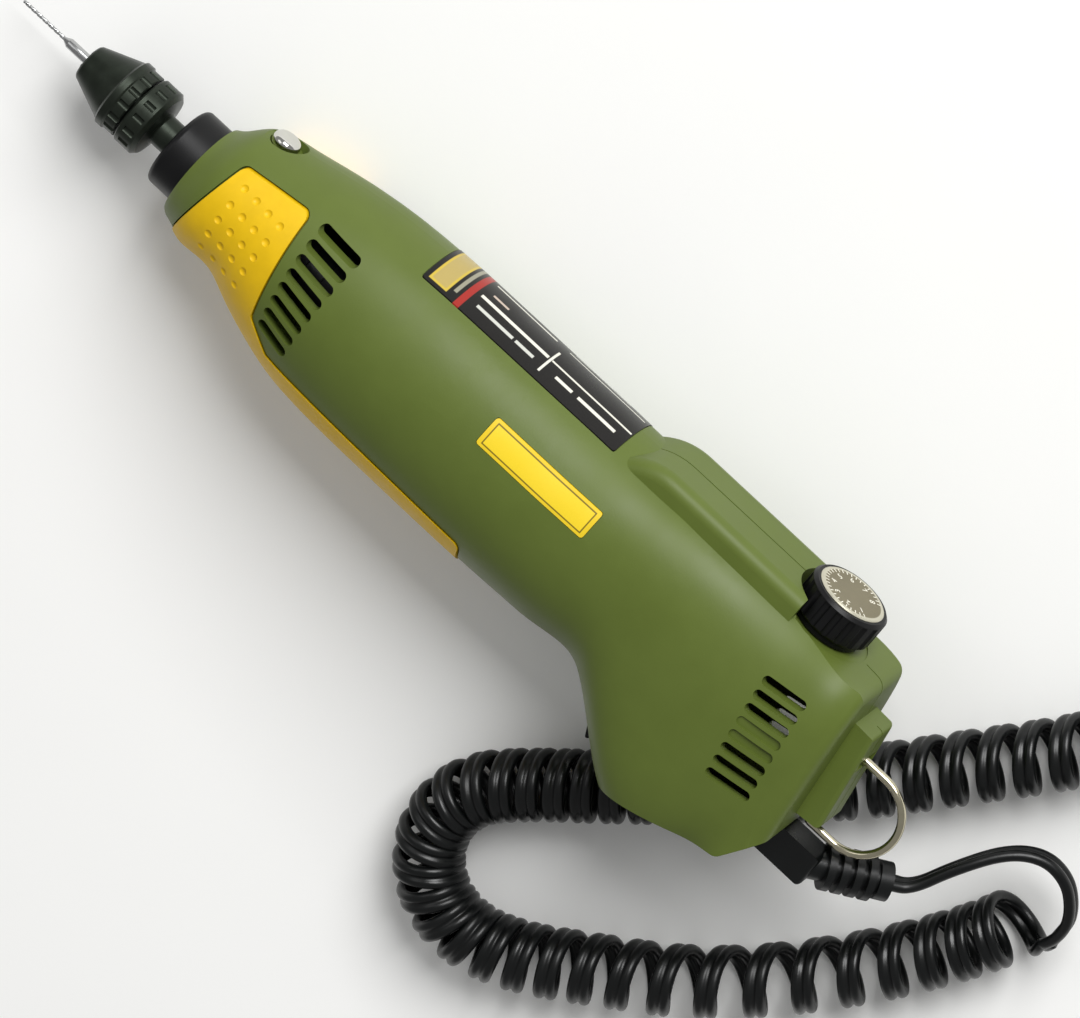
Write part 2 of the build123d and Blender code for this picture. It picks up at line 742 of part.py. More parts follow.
# Ball bearings: outer ring, inner ring and balls, all turned about the spindle axis
for place, start, width, bore, outer in (
    ("front", front_bearing_start, front_bearing_width, spindle_radius, front_bearing_outer),
    ("rear", rear_bearing_start, rear_bearing_width, spindle_rear_radius, rear_bearing_outer),
):
    middle_radius = (bore + outer) / 2
    ball = (outer - bore) * 0.27
    land = (outer - bore) * 0.2
    middle = start + width / 2
    for name, low, high in (
        (f"{place}_bearing_outer", middle_radius + land, outer),
        (f"{place}_bearing_inner", bore + seat_gap, middle_radius - land),
    ):
        with BuildPart() as race:
            turn((start, low), (start, high), (start + width, high), (start + width, low))
            with BuildSketch() as groove:
                with Locations((middle, middle_radius)):
                    Circle(ball + running_gap)
            revolve(groove.sketch, axis=Axis.X, mode=Mode.SUBTRACT)
        hand_over(race, name)
    with BuildPart() as balls:
        with Locations(*((middle, y, z) for y, z, _ in ring_of(bearing_balls, middle_radius))):
            Sphere(ball)
    hand_over(balls, f"{place}_bearing_balls")

# Spindle with its shoulder and the cross holes of the lock
with BuildPart() as spindle:
    turn((spindle_nose_end, 0), (spindle_nose_end, spindle_nose_radius),
         (spindle_shoulder, spindle_nose_radius), (spindle_shoulder, spindle_radius),
         (rear_bearing_start - 0.5, spindle_radius), (rear_bearing_start - 0.5, spindle_rear_radius),
         (spindle_rear_end, spindle_rear_radius), (spindle_rear_end, 0))
    for plane in (along_back(lock_x, -10), Plane(origin=(lock_x, 0, -10))):
        with BuildSketch(plane) as cross_hole:
            Circle(lock_pin_radius + loose_gap)
        extrude(cross_hole.sketch, amount=20, mode=Mode.SUBTRACT)
hand_over(spindle, "spindle")

# Keyless chuck: body, turning sleeve, three jaws and the bit that they hold
jaw_tan = math.tan(math.radians(jaw_slope))


def jaw_plane(turned, x):
    """Plane square to a jaw's slanted axis where that axis passes x."""
    out = Vector(0, math.cos(turned), math.sin(turned))
    axis = (Vector(1, 0, 0) + out * jaw_tan).normalized()
    origin = Vector(x, 0, 0) + out * (jaw_tip_offset + (x - jaw_front) * jaw_tan)
    return Plane(origin=origin, x_dir=Vector(1, 0, 0).cross(out), z_dir=axis)


jaw_turns = [2 * math.pi * index / 3 for index in range(3)]
jaw_length = (jaw_rear - jaw_front) / math.cos(math.radians(jaw_slope))
sleeve_bore = chuck_core_radius + slide_gap


def flute(start, end, circle, count, radius):
    """Cut round flutes along the spindle axis into what is being made."""
    with BuildSketch(across(start)) as grooves:
        with PolarLocations(circle, count):
            Circle(radius)
    extrude(grooves.sketch, amount=end - start, mode=Mode.SUBTRACT)


with BuildPart() as chuck_body:
    turn((chuck_front + 0.7, shank_radius + 0.12), (chuck_front + 0.7, 2.9),
         (chuck_front + 7.3, chuck_core_radius), (chuck_ring_front, chuck_core_radius),
         (chuck_ring_front, chuck_ring_radius - 0.4),
         (chuck_ring_front + 0.4, chuck_ring_radius), (chuck_ring_rear - 1, chuck_ring_radius),
         (chuck_ring_rear, chuck_ring_radius - 1), (chuck_ring_rear + 0.6, chuck_hub_radius + 0.4),
         (chuck_ring_rear + 1, chuck_hub_radius), (spindle_shoulder - seat_gap, chuck_hub_radius),
         (spindle_shoulder - seat_gap, spindle_nose_radius + seat_gap),
         (spindle_nose_end - seat_gap, spindle_nose_radius + seat_gap),
         (spindle_nose_end - seat_gap, shank_radius + 0.12))
    flute(chuck_ring_front + 1.4, chuck_ring_rear - 1.6, chuck_ring_radius + 0.4, chuck_flutes,
          chuck_flute_radius)
    for turned in jaw_turns:
        with BuildSketch(jaw_plane(turned, jaw_front - 2)) as jaw_hole:
            Circle(jaw_radius + 0.08)
        extrude(jaw_hole.sketch, amount=jaw_length + 5.5, mode=Mode.SUBTRACT)
hand_over(chuck_body, "chuck_body")
lip_front = chuck_sleeve_rear - 4.8
with BuildPart() as chuck_sleeve:
    turn((chuck_front, chuck_front_radius - 1.2), (chuck_front, chuck_front_radius - 0.4),
         (chuck_front + 0.4, chuck_front_radius), (lip_front - 0.5, chuck_band_radius - 0.2),
         (lip_front, chuck_lip_radius), (lip_front + 1.6, chuck_lip_radius),
         (lip_front + 2, chuck_band_radius), (chuck_sleeve_rear - 0.3, chuck_band_radius),
         (chuck_sleeve_rear, chuck_band_radius - 0.3), (chuck_sleeve_rear, sleeve_bore),
         (chuck_front + 7.0, sleeve_bore), (chuck_front + 0.2, chuck_front_radius - 1.2))
    flute(lip_front + 2.1, chuck_sleeve_rear + 1, chuck_band_radius + 0.4, chuck_flutes, chuck_flute_radius)
hand_over(chuck_sleeve, "chuck_sleeve")
for index, turned in enumerate(jaw_turns):
    with BuildPart() as jaw:
        with BuildSketch(jaw_plane(turned, jaw_front)) as section:
            Circle(jaw_radius)
        extrude(section.sketch, amount=jaw_length)
        turn((jaw_front - 5, 0), (jaw_front - 5, shank_radius + 0.03), (0, shank_radius + 0.03), (0, 0),
             mode=Mode.SUBTRACT)
    hand_over(jaw, f"chuck_jaw_{index + 1}")
with BuildPart() as drill_bit:
    turn((bit_tip, 0), (bit_tip + 0.5, bit_radius), (shank_front - 1.6, bit_radius),
         (shank_front, shank_radius), (spindle_nose_end - 2, shank_radius), (spindle_nose_end - 2, 0))
hand_over(drill_bit, "drill_bit")

# Spindle lock: domed button on its pin, and its spring at its pressed length
cap_foot = lock_cap_top - lock_cap_height
with BuildPart() as lock_button:
    stem(lock_x, lock_pin_tip, cap_foot, lock_pin_radius)
    stem(lock_x, cap_foot, lock_cap_top, lock_cap_radius)
    fillet(lock_button.edges().group_by(Axis.Y)[-1], 1.5)
hand_over(lock_button, "lock_button")
spring_rise = 0.95
spring_low = cap_foot - lock_spring_turns * spring_rise - lock_spring_wire


def lock_spring_point(angle):
    """Place on the lock spring's wire at an angle round the button's axis."""
    rise = spring_low + spring_rise * angle / (2 * math.pi)
    return Vector(lock_x + lock_spring_radius * math.cos(angle), rise, lock_spring_radius * math.sin(angle))


def wire_solid(line, heading, radius):
    """Tube of the given radius along a line that leaves with the given heading."""
    with BuildPart() as tube:
        with BuildSketch(Plane(origin=line @ 0, z_dir=heading)) as section:
            Circle(radius)
        sweep(section.sketch, path=line)
    return tube


spring_line, spring_heading, _ = wound_line(lock_spring_point, 0, 2 * math.pi * (lock_spring_turns - 0.25))
hand_over(wire_solid(spring_line, spring_heading, lock_spring_wire), "lock_spring")

# Elastic coupling between spindle and motor: two clawed hubs and a spider between their claws
claw_half_width = 2.1
claw_inner = 3.5
hub_end = coupling_start + coupling_hub
claw_end = hub_end + coupling_claw
rear_hub_start = claw_end + 0.5
rear_hub_end = rear_hub_start + coupling_hub


def claws(start, end, along_y):
    """Two claws on a hub between start and end, on the Y or the Z side of the axis."""
    with BuildSketch(across(start)) as section:
        Circle(coupling_radius)
        Circle(claw_inner, mode=Mode.SUBTRACT)
        if along_y:
            Rectangle(through, 2 * claw_half_width, mode=Mode.INTERSECT)
        else:
            Rectangle(2 * claw_half_width, through, mode=Mode.INTERSECT)
    extrude(section.sketch, amount=end - start)


with BuildPart() as coupling_front:
    turn((coupling_start, spindle_rear_radius + seat_gap), (coupling_start, coupling_radius),
         (hub_end, coupling_radius), (hub_end, spindle_rear_radius + seat_gap))
    claws(hub_end, claw_end, True)
hand_over(coupling_front, "coupling_front")
with BuildPart() as coupling_rear:
    turn((rear_hub_start, motor_shaft_radius + seat_gap), (rear_hub_start, coupling_radius),
         (rear_hub_end, coupling_radius), (rear_hub_end, motor_shaft_radius + seat_gap))
    claws(hub_end + 0.5, rear_hub_start, False)
hand_over(coupling_rear, "coupling_rear")
with BuildPart() as coupling_spider:
    with BuildSketch(across(hub_end + 0.2)) as arms:
        Circle(coupling_radius - 0.2)
        Rectangle(through, 2 * claw_half_width + 0.2, mode=Mode.SUBTRACT)
        Rectangle(2 * claw_half_width + 0.2, through, mode=Mode.SUBTRACT)
        Circle(claw_inner - 0.1)
    extrude(arms.sketch, amount=rear_hub_start - hub_end - 0.4)
hand_over(coupling_spider, "coupling_spider")

# Cooling fan on the motor shaft
shaft_bore = motor_shaft_radius + seat_gap
with BuildPart() as cooling_fan:
    turn((fan_start, shaft_bore), (fan_start, fan_hub_radius), (fan_end - 1, fan_hub_radius),
         (fan_end - 1, fan_radius), (fan_end, fan_radius), (fan_end, shaft_bore))
    with BuildSketch(across(fan_start + 1)) as blades:
        with PolarLocations((fan_hub_radius + fan_radius) / 2 - 0.3, fan_blades):
            Rectangle(fan_radius - fan_hub_radius, 1.1)
    extrude(blades.sketch, amount=fan_end - fan_start - 1.5)
hand_over(cooling_fan, "cooling_fan")

# Motor: can, magnets, end cap, bushes, shaft, armature, windings and commutator
can_inner = motor_radius - motor_wall
bush_seat = bush_radius + seat_gap
front_bush_end = motor_start + bush_length
rear_bush_start = end_cap_end - bush_length
with BuildPart() as motor_can:
    turn((motor_start, bush_seat), (motor_start, motor_radius), (motor_end, motor_radius),
         (motor_end, can_inner), (motor_start + 2, can_inner), (motor_start + 2, bush_radius + 2),
         (front_bush_end, bush_radius + 2), (front_bush_end, bush_seat))
    with BuildSketch(across(motor_start - 1)) as air_holes:
        with PolarLocations((bush_radius + can_inner) / 2 + 0.5, 6):
            Circle(air_hole_radius)
    extrude(air_holes.sketch, amount=3.5, mode=Mode.SUBTRACT)
hand_over(motor_can, "motor_can")
with BuildPart() as motor_end_cap:
    turn((motor_end, can_inner - 1), (motor_end, motor_radius), (end_cap_end, motor_radius),
         (end_cap_end, bush_seat), (rear_bush_start, bush_seat), (rear_bush_start, bush_radius + 2),
         (end_cap_end - 2, bush_radius + 2), (end_cap_end - 2, can_inner - 1))
    with BuildSketch(across(end_cap_end - 3)) as air_holes:
        with PolarLocations((bush_radius + can_inner) / 2 + 0.5, 4, start_angle=45):
            Circle(air_hole_radius)
    extrude(air_holes.sketch, amount=4, mode=Mode.SUBTRACT)
hand_over(motor_end_cap, "motor_end_cap")
bush_places = (("front_bush", motor_start, front_bush_end), ("rear_bush", rear_bush_start, end_cap_end))
for name, start, end in bush_places:
    with BuildPart() as bush:
        turn((start, motor_shaft_radius + running_gap), (start, bush_radius), (end, bush_radius),
             (end, motor_shaft_radius + running_gap))
    hand_over(bush, f"motor_{name}")
magnet_outer = can_inner - 0.05
with BuildPart() as magnets:
    with BuildSketch(across(armature_start - 3)) as section:
        Circle(magnet_outer)
        Circle(magnet_outer - magnet_thickness, mode=Mode.SUBTRACT)
        magnet_gap = 2 * magnet_outer * math.cos(math.radians(magnet_span / 2))
        Rectangle(through, magnet_gap, mode=Mode.SUBTRACT)
    extrude(section.sketch, amount=armature_end - armature_start + 6)
hand_over(magnets, "motor_magnets")
with BuildPart() as motor_shaft:
    turn((motor_shaft_start, 0), (motor_shaft_start, motor_shaft_radius),
         (motor_shaft_end, motor_shaft_radius), (motor_shaft_end, 0))
    chamfer(motor_shaft.edges().filter_by(GeomType.CIRCLE), 0.3)
hand_over(motor_shaft, "motor_shaft")
slot_floor = 8.2
slot_width = 3.0
winding_radius = armature_radius - 1
with BuildPart() as armature_core:
    turn((armature_start, shaft_bore), (armature_start, armature_radius), (armature_end, armature_radius),
         (armature_end, shaft_bore))
    with BuildSketch(across(armature_start)) as slots:
        with PolarLocations((slot_floor + armature_radius + 1) / 2, armature_slots):
            Rectangle(armature_radius + 1 - slot_floor, slot_width)
    extrude(slots.sketch, amount=armature_end - armature_start, mode=Mode.SUBTRACT)
hand_over(armature_core, "armature_core")
with BuildPart() as armature_windings:
    for start in (armature_start - winding_overhang, armature_end + seat_gap):
        end = start + winding_overhang - seat_gap
        turn((start, shaft_bore + 2), (start, winding_radius - 2), (start + 2, winding_radius),
             (end - 2, winding_radius), (end, winding_radius - 2), (end, shaft_bore + 2))
    with BuildSketch(across(armature_start - 3)) as strands:
        with PolarLocations((slot_floor + winding_radius) / 2 + 0.1, armature_slots):
            Rectangle(winding_radius - slot_floor - 0.4, slot_width - 0.4)
    extrude(strands.sketch, amount=armature_end - armature_start + 6)
hand_over(armature_windings, "armature_windings")
with BuildPart() as commutator:
    turn((commutator_start, shaft_bore), (commutator_start, commutator_radius),
         (commutator_end, commutator_radius), (commutator_end, shaft_bore))
    with BuildSketch(across(commutator_start)) as gaps:
        with PolarLocations(commutator_radius, armature_slots):
            Rectangle(1.2, 0.4)
    extrude(gaps.sketch, amount=commutator_end - commutator_start, mode=Mode.SUBTRACT)
hand_over(commutator, "commutator")

# Carbon brushes in their holders, on the back and the belly side of the commutator
brush_length = 3.7
brush_width = 4.7
brush_foot = commutator_radius + 0.1
brush_head = 11.0
holder_end = can_inner - 1.6
brush_spring_radius = 1.4
brush_spring_wire = 0.3
brush_spring_turns = 4
sides = (1, -1)
with BuildPart() as brush_holders:
    for side in sides:
        for grow, mode in ((1.2, Mode.ADD), (0.2, Mode.SUBTRACT)):
            with Locations((brush_x, side * (brush_foot + 1 + holder_end) / 2, 0)):
                Box(brush_length + grow, holder_end - brush_foot - 1, brush_width + grow, mode=mode)
hand_over(brush_holders, "brush_holders")
with BuildPart() as brushes:
    for side in sides:
        with Locations((brush_x, side * (brush_foot + brush_head) / 2, 0)):
            Box(brush_length, brush_head - brush_foot, brush_width)
hand_over(brushes, "carbon_brushes")
brush_spring_rise = (holder_end - brush_head - 2 * brush_spring_wire) / brush_spring_turns
with BuildPart() as brush_springs:
    for side in sides:
        def brush_spring_point(angle):
            """Place on a brush spring's wire at an angle round the brush's own axis."""
            out = brush_head + brush_spring_wire + brush_spring_rise * angle / (2 * math.pi)
            return Vector(brush_x + brush_spring_radius * math.cos(angle), side * out,
                          brush_spring_radius * math.sin(angle))

        line, heading, _ = wound_line(brush_spring_point, 0, 2 * math.pi * brush_spring_turns)
        add(wire_solid(line, heading, brush_spring_wire).part)
hand_over(brush_springs, "brush_springs")

# Speed control: board between its rails, its parts, potentiometer, knob and dial
board_top = board_level + board_thickness
with BuildPart() as circuit_board:
    with Locations((board_middle, board_level + board_thickness / 2, 0)):
        Box(board_length, board_thickness, 2 * board_half_width)
hand_over(circuit_board, "circuit_board")
capacitor_radius = 5.0
with BuildPart() as capacitor:
    with BuildSketch(across(board_start + 9.5)) as can:
        with Locations((board_top + capacitor_radius, -7)):
            Circle(capacitor_radius)
    extrude(can.sketch, amount=14)
    fillet(capacitor.edges().filter_by(GeomType.CIRCLE), 0.6)
hand_over(capacitor, "capacitor")
with BuildPart() as heat_sink:
    with Locations((board_start + 31, board_top + 1, 0)):
        Box(14, 2, 20)
    with Locations(*((board_start + 31, board_top + 6, z) for z in (-9.4, -5.6, -1.9, 1.9, 5.6, 9.4))):
        Box(14, 10, 1.2)
hand_over(heat_sink, "heat_sink")


def spin(x, *outline, mode=Mode.ADD):
    """Turn an outline of (radius, y) corners about the line along Y through x."""
    with BuildSketch() as profile:
        with BuildLine():
            Polyline(*((x + radius, y) for radius, y in outline), close=True)
        make_face()
    revolve(profile.sketch, axis=Axis((x, 0, 0), (0, 1, 0)), mode=mode)


pot_top = knob_recess_floor - wall - 1.2
shaft_foot = pot_top - 3
knob_bore_end = knob_top - 2.2
with BuildPart() as potentiometer:
    stem(knob_x, pot_top - pot_height, pot_top, pot_radius)
    stem(knob_x, pot_top, knob_recess_floor, pot_shaft_radius + 1)
    stem(knob_x, shaft_foot - 0.2, knob_recess_floor, pot_shaft_radius + running_gap, mode=Mode.SUBTRACT)
hand_over(potentiometer, "potentiometer")
with BuildPart() as pot_shaft:
    stem(knob_x, shaft_foot, knob_bore_end - seat_gap, pot_shaft_radius)
hand_over(pot_shaft, "potentiometer_shaft")
disc_floor = knob_top - 0.6
with BuildPart() as speed_knob:
    spin(knob_x, (pot_shaft_radius + seat_gap, knob_base), (knob_base_radius, knob_base),
         (knob_base_radius, knob_base + 1), (knob_radius, knob_base + 2.2), (knob_radius, knob_top - 0.7),
         (knob_radius - 0.7, knob_top), (knob_disc_radius + seat_gap, knob_top),
         (knob_disc_radius + seat_gap, disc_floor), (0, disc_floor), (0, knob_bore_end),
         (pot_shaft_radius + seat_gap, knob_bore_end))
    with BuildSketch(along_back(knob_x, knob_base)) as grooves:
        with PolarLocations(knob_radius + 0.35, knob_flutes):
            Circle(knob_flute_radius)
    extrude(grooves.sketch, amount=knob_top - knob_base - 0.9, mode=Mode.SUBTRACT)
hand_over(speed_knob, "speed_knob")
with BuildPart() as knob_dial:
    spin(knob_x, (0, disc_floor), (knob_disc_radius, disc_floor), (knob_disc_radius, knob_top + 0.1),
         (knob_disc_radius - 0.3, knob_top + dial_proud), (0, knob_top + dial_proud))
hand_over(knob_dial, "knob_dial")

# On/off switch: body behind the front slope of the bulge, and its rocker
rocker_plane = Plane(origin=(*switch_middle, 0), x_dir=(slope_cos, -slope_sin, 0), z_dir=(0, 0, -1))
switch_mouth = -(wall + 0.4)
switch_wall = 1.1
rocker_pivot = (switch_middle[0] + rocker_pivot_depth * slope_sin,
                switch_middle[1] + rocker_pivot_depth * slope_cos)
with BuildPart() as switch_body:
    with BuildSketch(switch_plane.offset(switch_mouth - switch_depth)) as outside:
        Rectangle(2 * (window_half_length + switch_wall), 2 * (window_half_width + switch_wall))
    extrude(outside.sketch, amount=switch_depth)
    with BuildSketch(switch_plane.offset(-rocker_pivot_depth - 4)) as inside:
        Rectangle(2 * window_half_length, 2 * window_half_width)
    extrude(inside.sketch, amount=10, mode=Mode.SUBTRACT)
    post(*rocker_pivot, -20, rocker_pin_radius + running_gap, 40, mode=Mode.SUBTRACT)
hand_over(switch_body, "switch_body")
rocker_foot = -rocker_pivot_depth - 2.2
with BuildPart() as switch_rocker:
    with BuildSketch(rocker_plane) as section:
        with BuildLine():
            Polyline((-rocker_half_length + 0.2, -1.6), (-rocker_half_length + 0.3, rocker_flush),
                     (-0.4, 0.9), (rocker_half_length - 0.8, rocker_raised),
                     (rocker_half_length - 0.3, -0.4), (2.4, rocker_foot), (-2.4, rocker_foot), close=True)
        make_face()
        fillet(section.vertices(), 0.4)
    extrude(section.sketch, amount=rocker_half_width, both=True)
    pin_half = window_half_width + switch_wall - slide_gap
    post(*rocker_pivot, -pin_half, rocker_pin_radius, 2 * pin_half)
hand_over(switch_rocker, "switch_rocker")

# Hanging bail: a wire loop whose bar turns in the rear lug
with BuildPart() as hanging_bail:
    with BuildLine() as loop:
        Line((bail_leg_end, bail_low), (bail_x, bail_low))
        Line((bail_x, bail_low), (bail_x, bail_high))
        Line((bail_x, bail_high), (bail_leg_end, bail_high))
        TangentArc((bail_leg_end, bail_high), (bail_leg_end, bail_low), tangent=(1, 0))
        fillet(loop.vertices().filter_by(lambda v: v.X < bail_x + 1), bail_bend)
    with BuildSketch(Plane(origin=(bail_leg_end, bail_low, 0), z_dir=(-1, 0, 0))) as wire:
        Circle(bail_wire_radius)
    sweep(wire.sketch, path=loop.wire())
hand_over(hanging_bail, "hanging_bail")

# Strain relief: block in the rear wall, then ribs that turn towards the cord
relief_joint = Vector(relief_block_end - 2, relief_y, 0)
relief_way = Vector(*relief_heading).normalized()


def relief_disc(start, length, radius):
    """Round disc on the slanted axis of the strain relief."""
    with BuildSketch(Plane(origin=relief_joint + relief_way * start, z_dir=relief_way)) as disc:
        Circle(radius)
    extrude(disc.sketch, amount=length)


with BuildPart() as strain_relief:
    prism((relief_start, relief_y - relief_half), (relief_start, relief_y + relief_half),
          (relief_block_end, relief_y + relief_half), (relief_block_end, relief_y - relief_half),
          half_width=relief_half)
    fillet(strain_relief.faces().sort_by(Axis.X)[-1].edges(), 1.2)
    with Locations((relief_start + 1.2, relief_y + 1, 0)):
        Box(2.4, 6, 14)
    relief_disc(0, relief_length, relief_core_radius)
    for index in range(relief_ribs):
        relief_disc(relief_first_rib + index * relief_rib_pitch, relief_rib_width, relief_rib_radius)
    relief_disc(relief_length - relief_cap_length + 1.2, relief_cap_length - 1.2, relief_cap_radius)
hand_over(strain_relief, "strain_relief")

# Cord, laid on the floor in the frame of the lying tool before it is moved over the origin
on_floor = Location((*rest_shift, 0))


def laid_down(place):
    """A place or a heading of the tool, turned as the tool lies."""
    return Vector(place.X * tilt_cos - place.Z * tilt_sin, place.Y, place.X * tilt_sin + place.Z * tilt_cos)


def hand_over_cord(piece, name):
    """Label and write a piece that already lies on the floor."""
    piece.part.location = on_floor
    piece.part.label = name
    export_step(piece.part, f"parts/{name}.step")


curl_level = curl_radius + cord_radius + 3 * floor_clearance
cord_diameter = 2 * cord_radius
knots = [Vector(x, y, curl_level) for x, y in curl_route]
spans = len(knots) - 2


def route_place(run):
    """Place, heading and pitch on the curl's axis: a quadratic curve drawn by the route's points."""
    span = min(int(run), spans - 1)
    share = run - span
    one, two, three = knots[span:span + 3]
    start = one if span == 0 else (one + two) * 0.5
    end = three if span == spans - 1 else (two + three) * 0.5
    place = start * (1 - share) ** 2 + two * (2 * share * (1 - share)) + end * share ** 2
    heading = (two - start) * (1 - share) + (end - two) * share
    pitch = curl_pitches[span + 1] * (1 - share) + curl_pitches[min(span + 2, spans)] * share
    return place, heading.normalized(), pitch


# The turns made by each small step along the axis; the last turns open out at both ends
route_steps = curl_steps * spans
step_places = [route_place(step / curl_steps)[0] for step in range(route_steps + 1)]
step_lengths = [(two - one).length for one, two in zip(step_places, step_places[1:])]
axis_length = sum(step_lengths)
turned_at = [0.0]
travelled = 0.0
for step, length in enumerate(step_lengths):
    pitch = route_place((step + 0.5) / curl_steps)[2]
    opened = max(math.exp(-travelled / curl_lead_fade), math.exp((travelled - axis_length) / curl_tail_fade))
    pitch += (curl_open_pitch - pitch) * opened
    turned_at.append(turned_at[-1] + 2 * math.pi * length / pitch)
    travelled += length


def curl_point(turned):
    """Place on the cord after it has turned so far round the curl's axis, left-handed."""
    turned = min(max(turned, 0.0), turned_at[-1])
    low, high = 0, route_steps
    while high - low > 1:
        middle = (low + high) // 2
        low, high = (middle, high) if turned_at[middle] <= turned else (low, middle)
    share = (turned - turned_at[low]) / (turned_at[high] - turned_at[low])
    place, heading, _ = route_place((low + share) / curl_steps)
    angle = math.radians(curl_start_angle) - turned
    across_way = Vector(-heading.Y, heading.X, 0)
    return place + (across_way * math.cos(angle) + Vector(0, 0, 1) * math.sin(angle)) * curl_radius


# The curls end where the cord touches the floor
to_floor = math.radians(90 + curl_start_angle)
last_turn = math.floor((turned_at[-1] - to_floor) / (2 * math.pi))
curl_turned = last_turn * 2 * math.pi + to_floor
curl_line, curl_leave, curl_arrive = wound_line(curl_point, 0.02, curl_turned - 0.02)
curl_start = curl_line @ 0 - curl_leave * cord_diameter
curl_end = curl_line @ 1 + curl_arrive * cord_diameter
samples = [curl_point(curl_turned * index / (24 * last_turn)) for index in range(24 * last_turn + 1)]
print("curls", round(curl_turned / (2 * math.pi), 2), "axis", round(axis_length, 1), "mm, cord",
      round(curl_line.length, 1), "mm, least gap", round(least_gap(samples, 12, cord_diameter), 2), "mm")
with BuildPart() as cord_curls:
    with BuildLine() as curl_path:
        Line(curl_start, curl_line @ 0)
        add(curl_line)
        Line(curl_line @ 1, curl_end)
    with BuildSketch(Plane(origin=curl_start, z_dir=curl_leave)) as section:
        Circle(cord_radius)
    sweep(section.sketch, path=curl_path.wire())
curl_tube = math.pi * cord_radius ** 2 * curl_path.wire().length
print("curls volume", round(cord_curls.part.volume / curl_tube, 4))
hand_over_cord(cord_curls, "cord_curls")


def plain_cord(name, *points):
    """Straight runs joined by arcs as large as the runs allow, as a tube along them."""
    runs = [two - one for one, two in zip(points, points[1:])]
    radii = [
        0.45 * min(one.length, two.length) / math.tan(math.radians(one.get_angle(two) / 2))
        for one, two in zip(runs, runs[1:])
    ]
    print(name, "runs", [round(run.length, 1) for run in runs])
    print(name, "radii", [round(radius, 1) for radius in radii])
    with BuildPart() as tube:
        with BuildLine() as line:
            FilletPolyline(*points, radius=radii)
        with BuildSketch(Plane(origin=points[0], z_dir=runs[0])) as section:
            Circle(cord_radius)
        sweep(section.sketch, path=line.wire())
    print(name, "length", round(line.wire().length, 1), "volume",
          round(tube.part.volume / (math.pi * cord_radius ** 2 * line.wire().length), 4))
    hand_over_cord(tube, name)


relief_end = laid_down(relief_joint + relief_way * relief_length) + Vector(0, 0, rest_lift)
relief_out = laid_down(relief_way)
plain_cord("cord_lead", relief_end, relief_end + relief_out * lead_first_run,
           *(Vector(*point) for point in lead_route), curl_start - curl_leave * lead_last_run, curl_start)
plug_way = Vector(*plug_heading, 0).normalized()
plug_rear = Vector(*plug_middle, plug_height / 2 + floor_clearance) - plug_way * (plug_length / 2)
plain_cord("cord_tail", curl_end, curl_end + curl_arrive * tail_first_run, *(Vector(*p) for p in tail_route),
           plug_rear - plug_way * tail_last_run, plug_rear)

# Two-pin low-voltage plug, lying flat
plug_across = Vector(plug_way.Y, -plug_way.X, 0)


def plug_plane(along):
    """Plane square to the plug's length."""
    return Plane(origin=plug_rear + plug_way * along, x_dir=plug_across, z_dir=plug_way)


with BuildPart() as plug_body:
    for along, half, height in (
        (0, plug_half_width - 3.4, plug_height - 2), (plug_nose, plug_half_width - 1.2, plug_height),
        (plug_length, plug_half_width, plug_height),
    ):
        with BuildSketch(plug_plane(along)):
            RectangleRounded(2 * half, height, 2.6)
    loft(ruled=True)
hand_over_cord(plug_body, "plug_body")
with BuildPart() as plug_pins:
    with BuildSketch(plug_plane(plug_length)) as pins:
        with Locations((-plug_pin_spread, 0), (plug_pin_spread, 0)):
            Circle(plug_pin_radius)
    extrude(pins.sketch, amount=plug_pin_length)
    pin_ends = plug_pins.faces().filter_by(GeomType.PLANE).sort_by(lambda face: -plug_way.dot(face.center()))
    fillet(pin_ends[:2].edges(), 0.8)
hand_over_cord(plug_pins, "plug_pins")
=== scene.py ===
"""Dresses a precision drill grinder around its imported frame: shells, grips, metal parts and a curly cord."""

import json
import logging
import math
from dataclasses import dataclass
from enum import Enum
from functools import cache
from typing import Any

import bpy
import numpy as np
from mathutils import Matrix


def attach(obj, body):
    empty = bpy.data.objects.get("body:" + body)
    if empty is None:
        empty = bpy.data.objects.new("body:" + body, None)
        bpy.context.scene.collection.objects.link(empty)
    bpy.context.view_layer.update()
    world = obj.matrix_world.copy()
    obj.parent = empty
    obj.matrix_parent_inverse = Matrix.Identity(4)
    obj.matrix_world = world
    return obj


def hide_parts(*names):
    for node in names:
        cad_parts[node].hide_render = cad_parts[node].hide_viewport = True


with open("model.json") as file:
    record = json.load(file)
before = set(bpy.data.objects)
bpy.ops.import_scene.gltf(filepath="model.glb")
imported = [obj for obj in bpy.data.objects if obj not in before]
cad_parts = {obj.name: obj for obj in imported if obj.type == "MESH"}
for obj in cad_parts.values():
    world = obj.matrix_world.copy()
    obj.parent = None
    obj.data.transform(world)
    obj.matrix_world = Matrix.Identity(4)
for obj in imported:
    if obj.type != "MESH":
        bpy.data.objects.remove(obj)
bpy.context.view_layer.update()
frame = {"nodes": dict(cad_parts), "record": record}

MM = 0.001
UP = np.array([0.0, 0.0, 1.0])

# Where the speed knob's axis stands along the tool, in millimetres.
KNOB_X = 167.4
# Most of a noise texture's values lie in this band.
NOISE_BAND = (0.3, 0.7)

log = logging.getLogger("drill_grinder")


class Body(str, Enum):
    """Bodies of the frame that the new pieces ride on."""

    HOUSING = "housing"
    ROTOR = "rotor"
    KNOB = "speed_knob"


class Slot(str, Enum):
    """Material slots of the record that the new pieces take."""

    STEEL = "bright_steel"
    DIAL = "dial_grey"
    CORD = "cord_rubber"


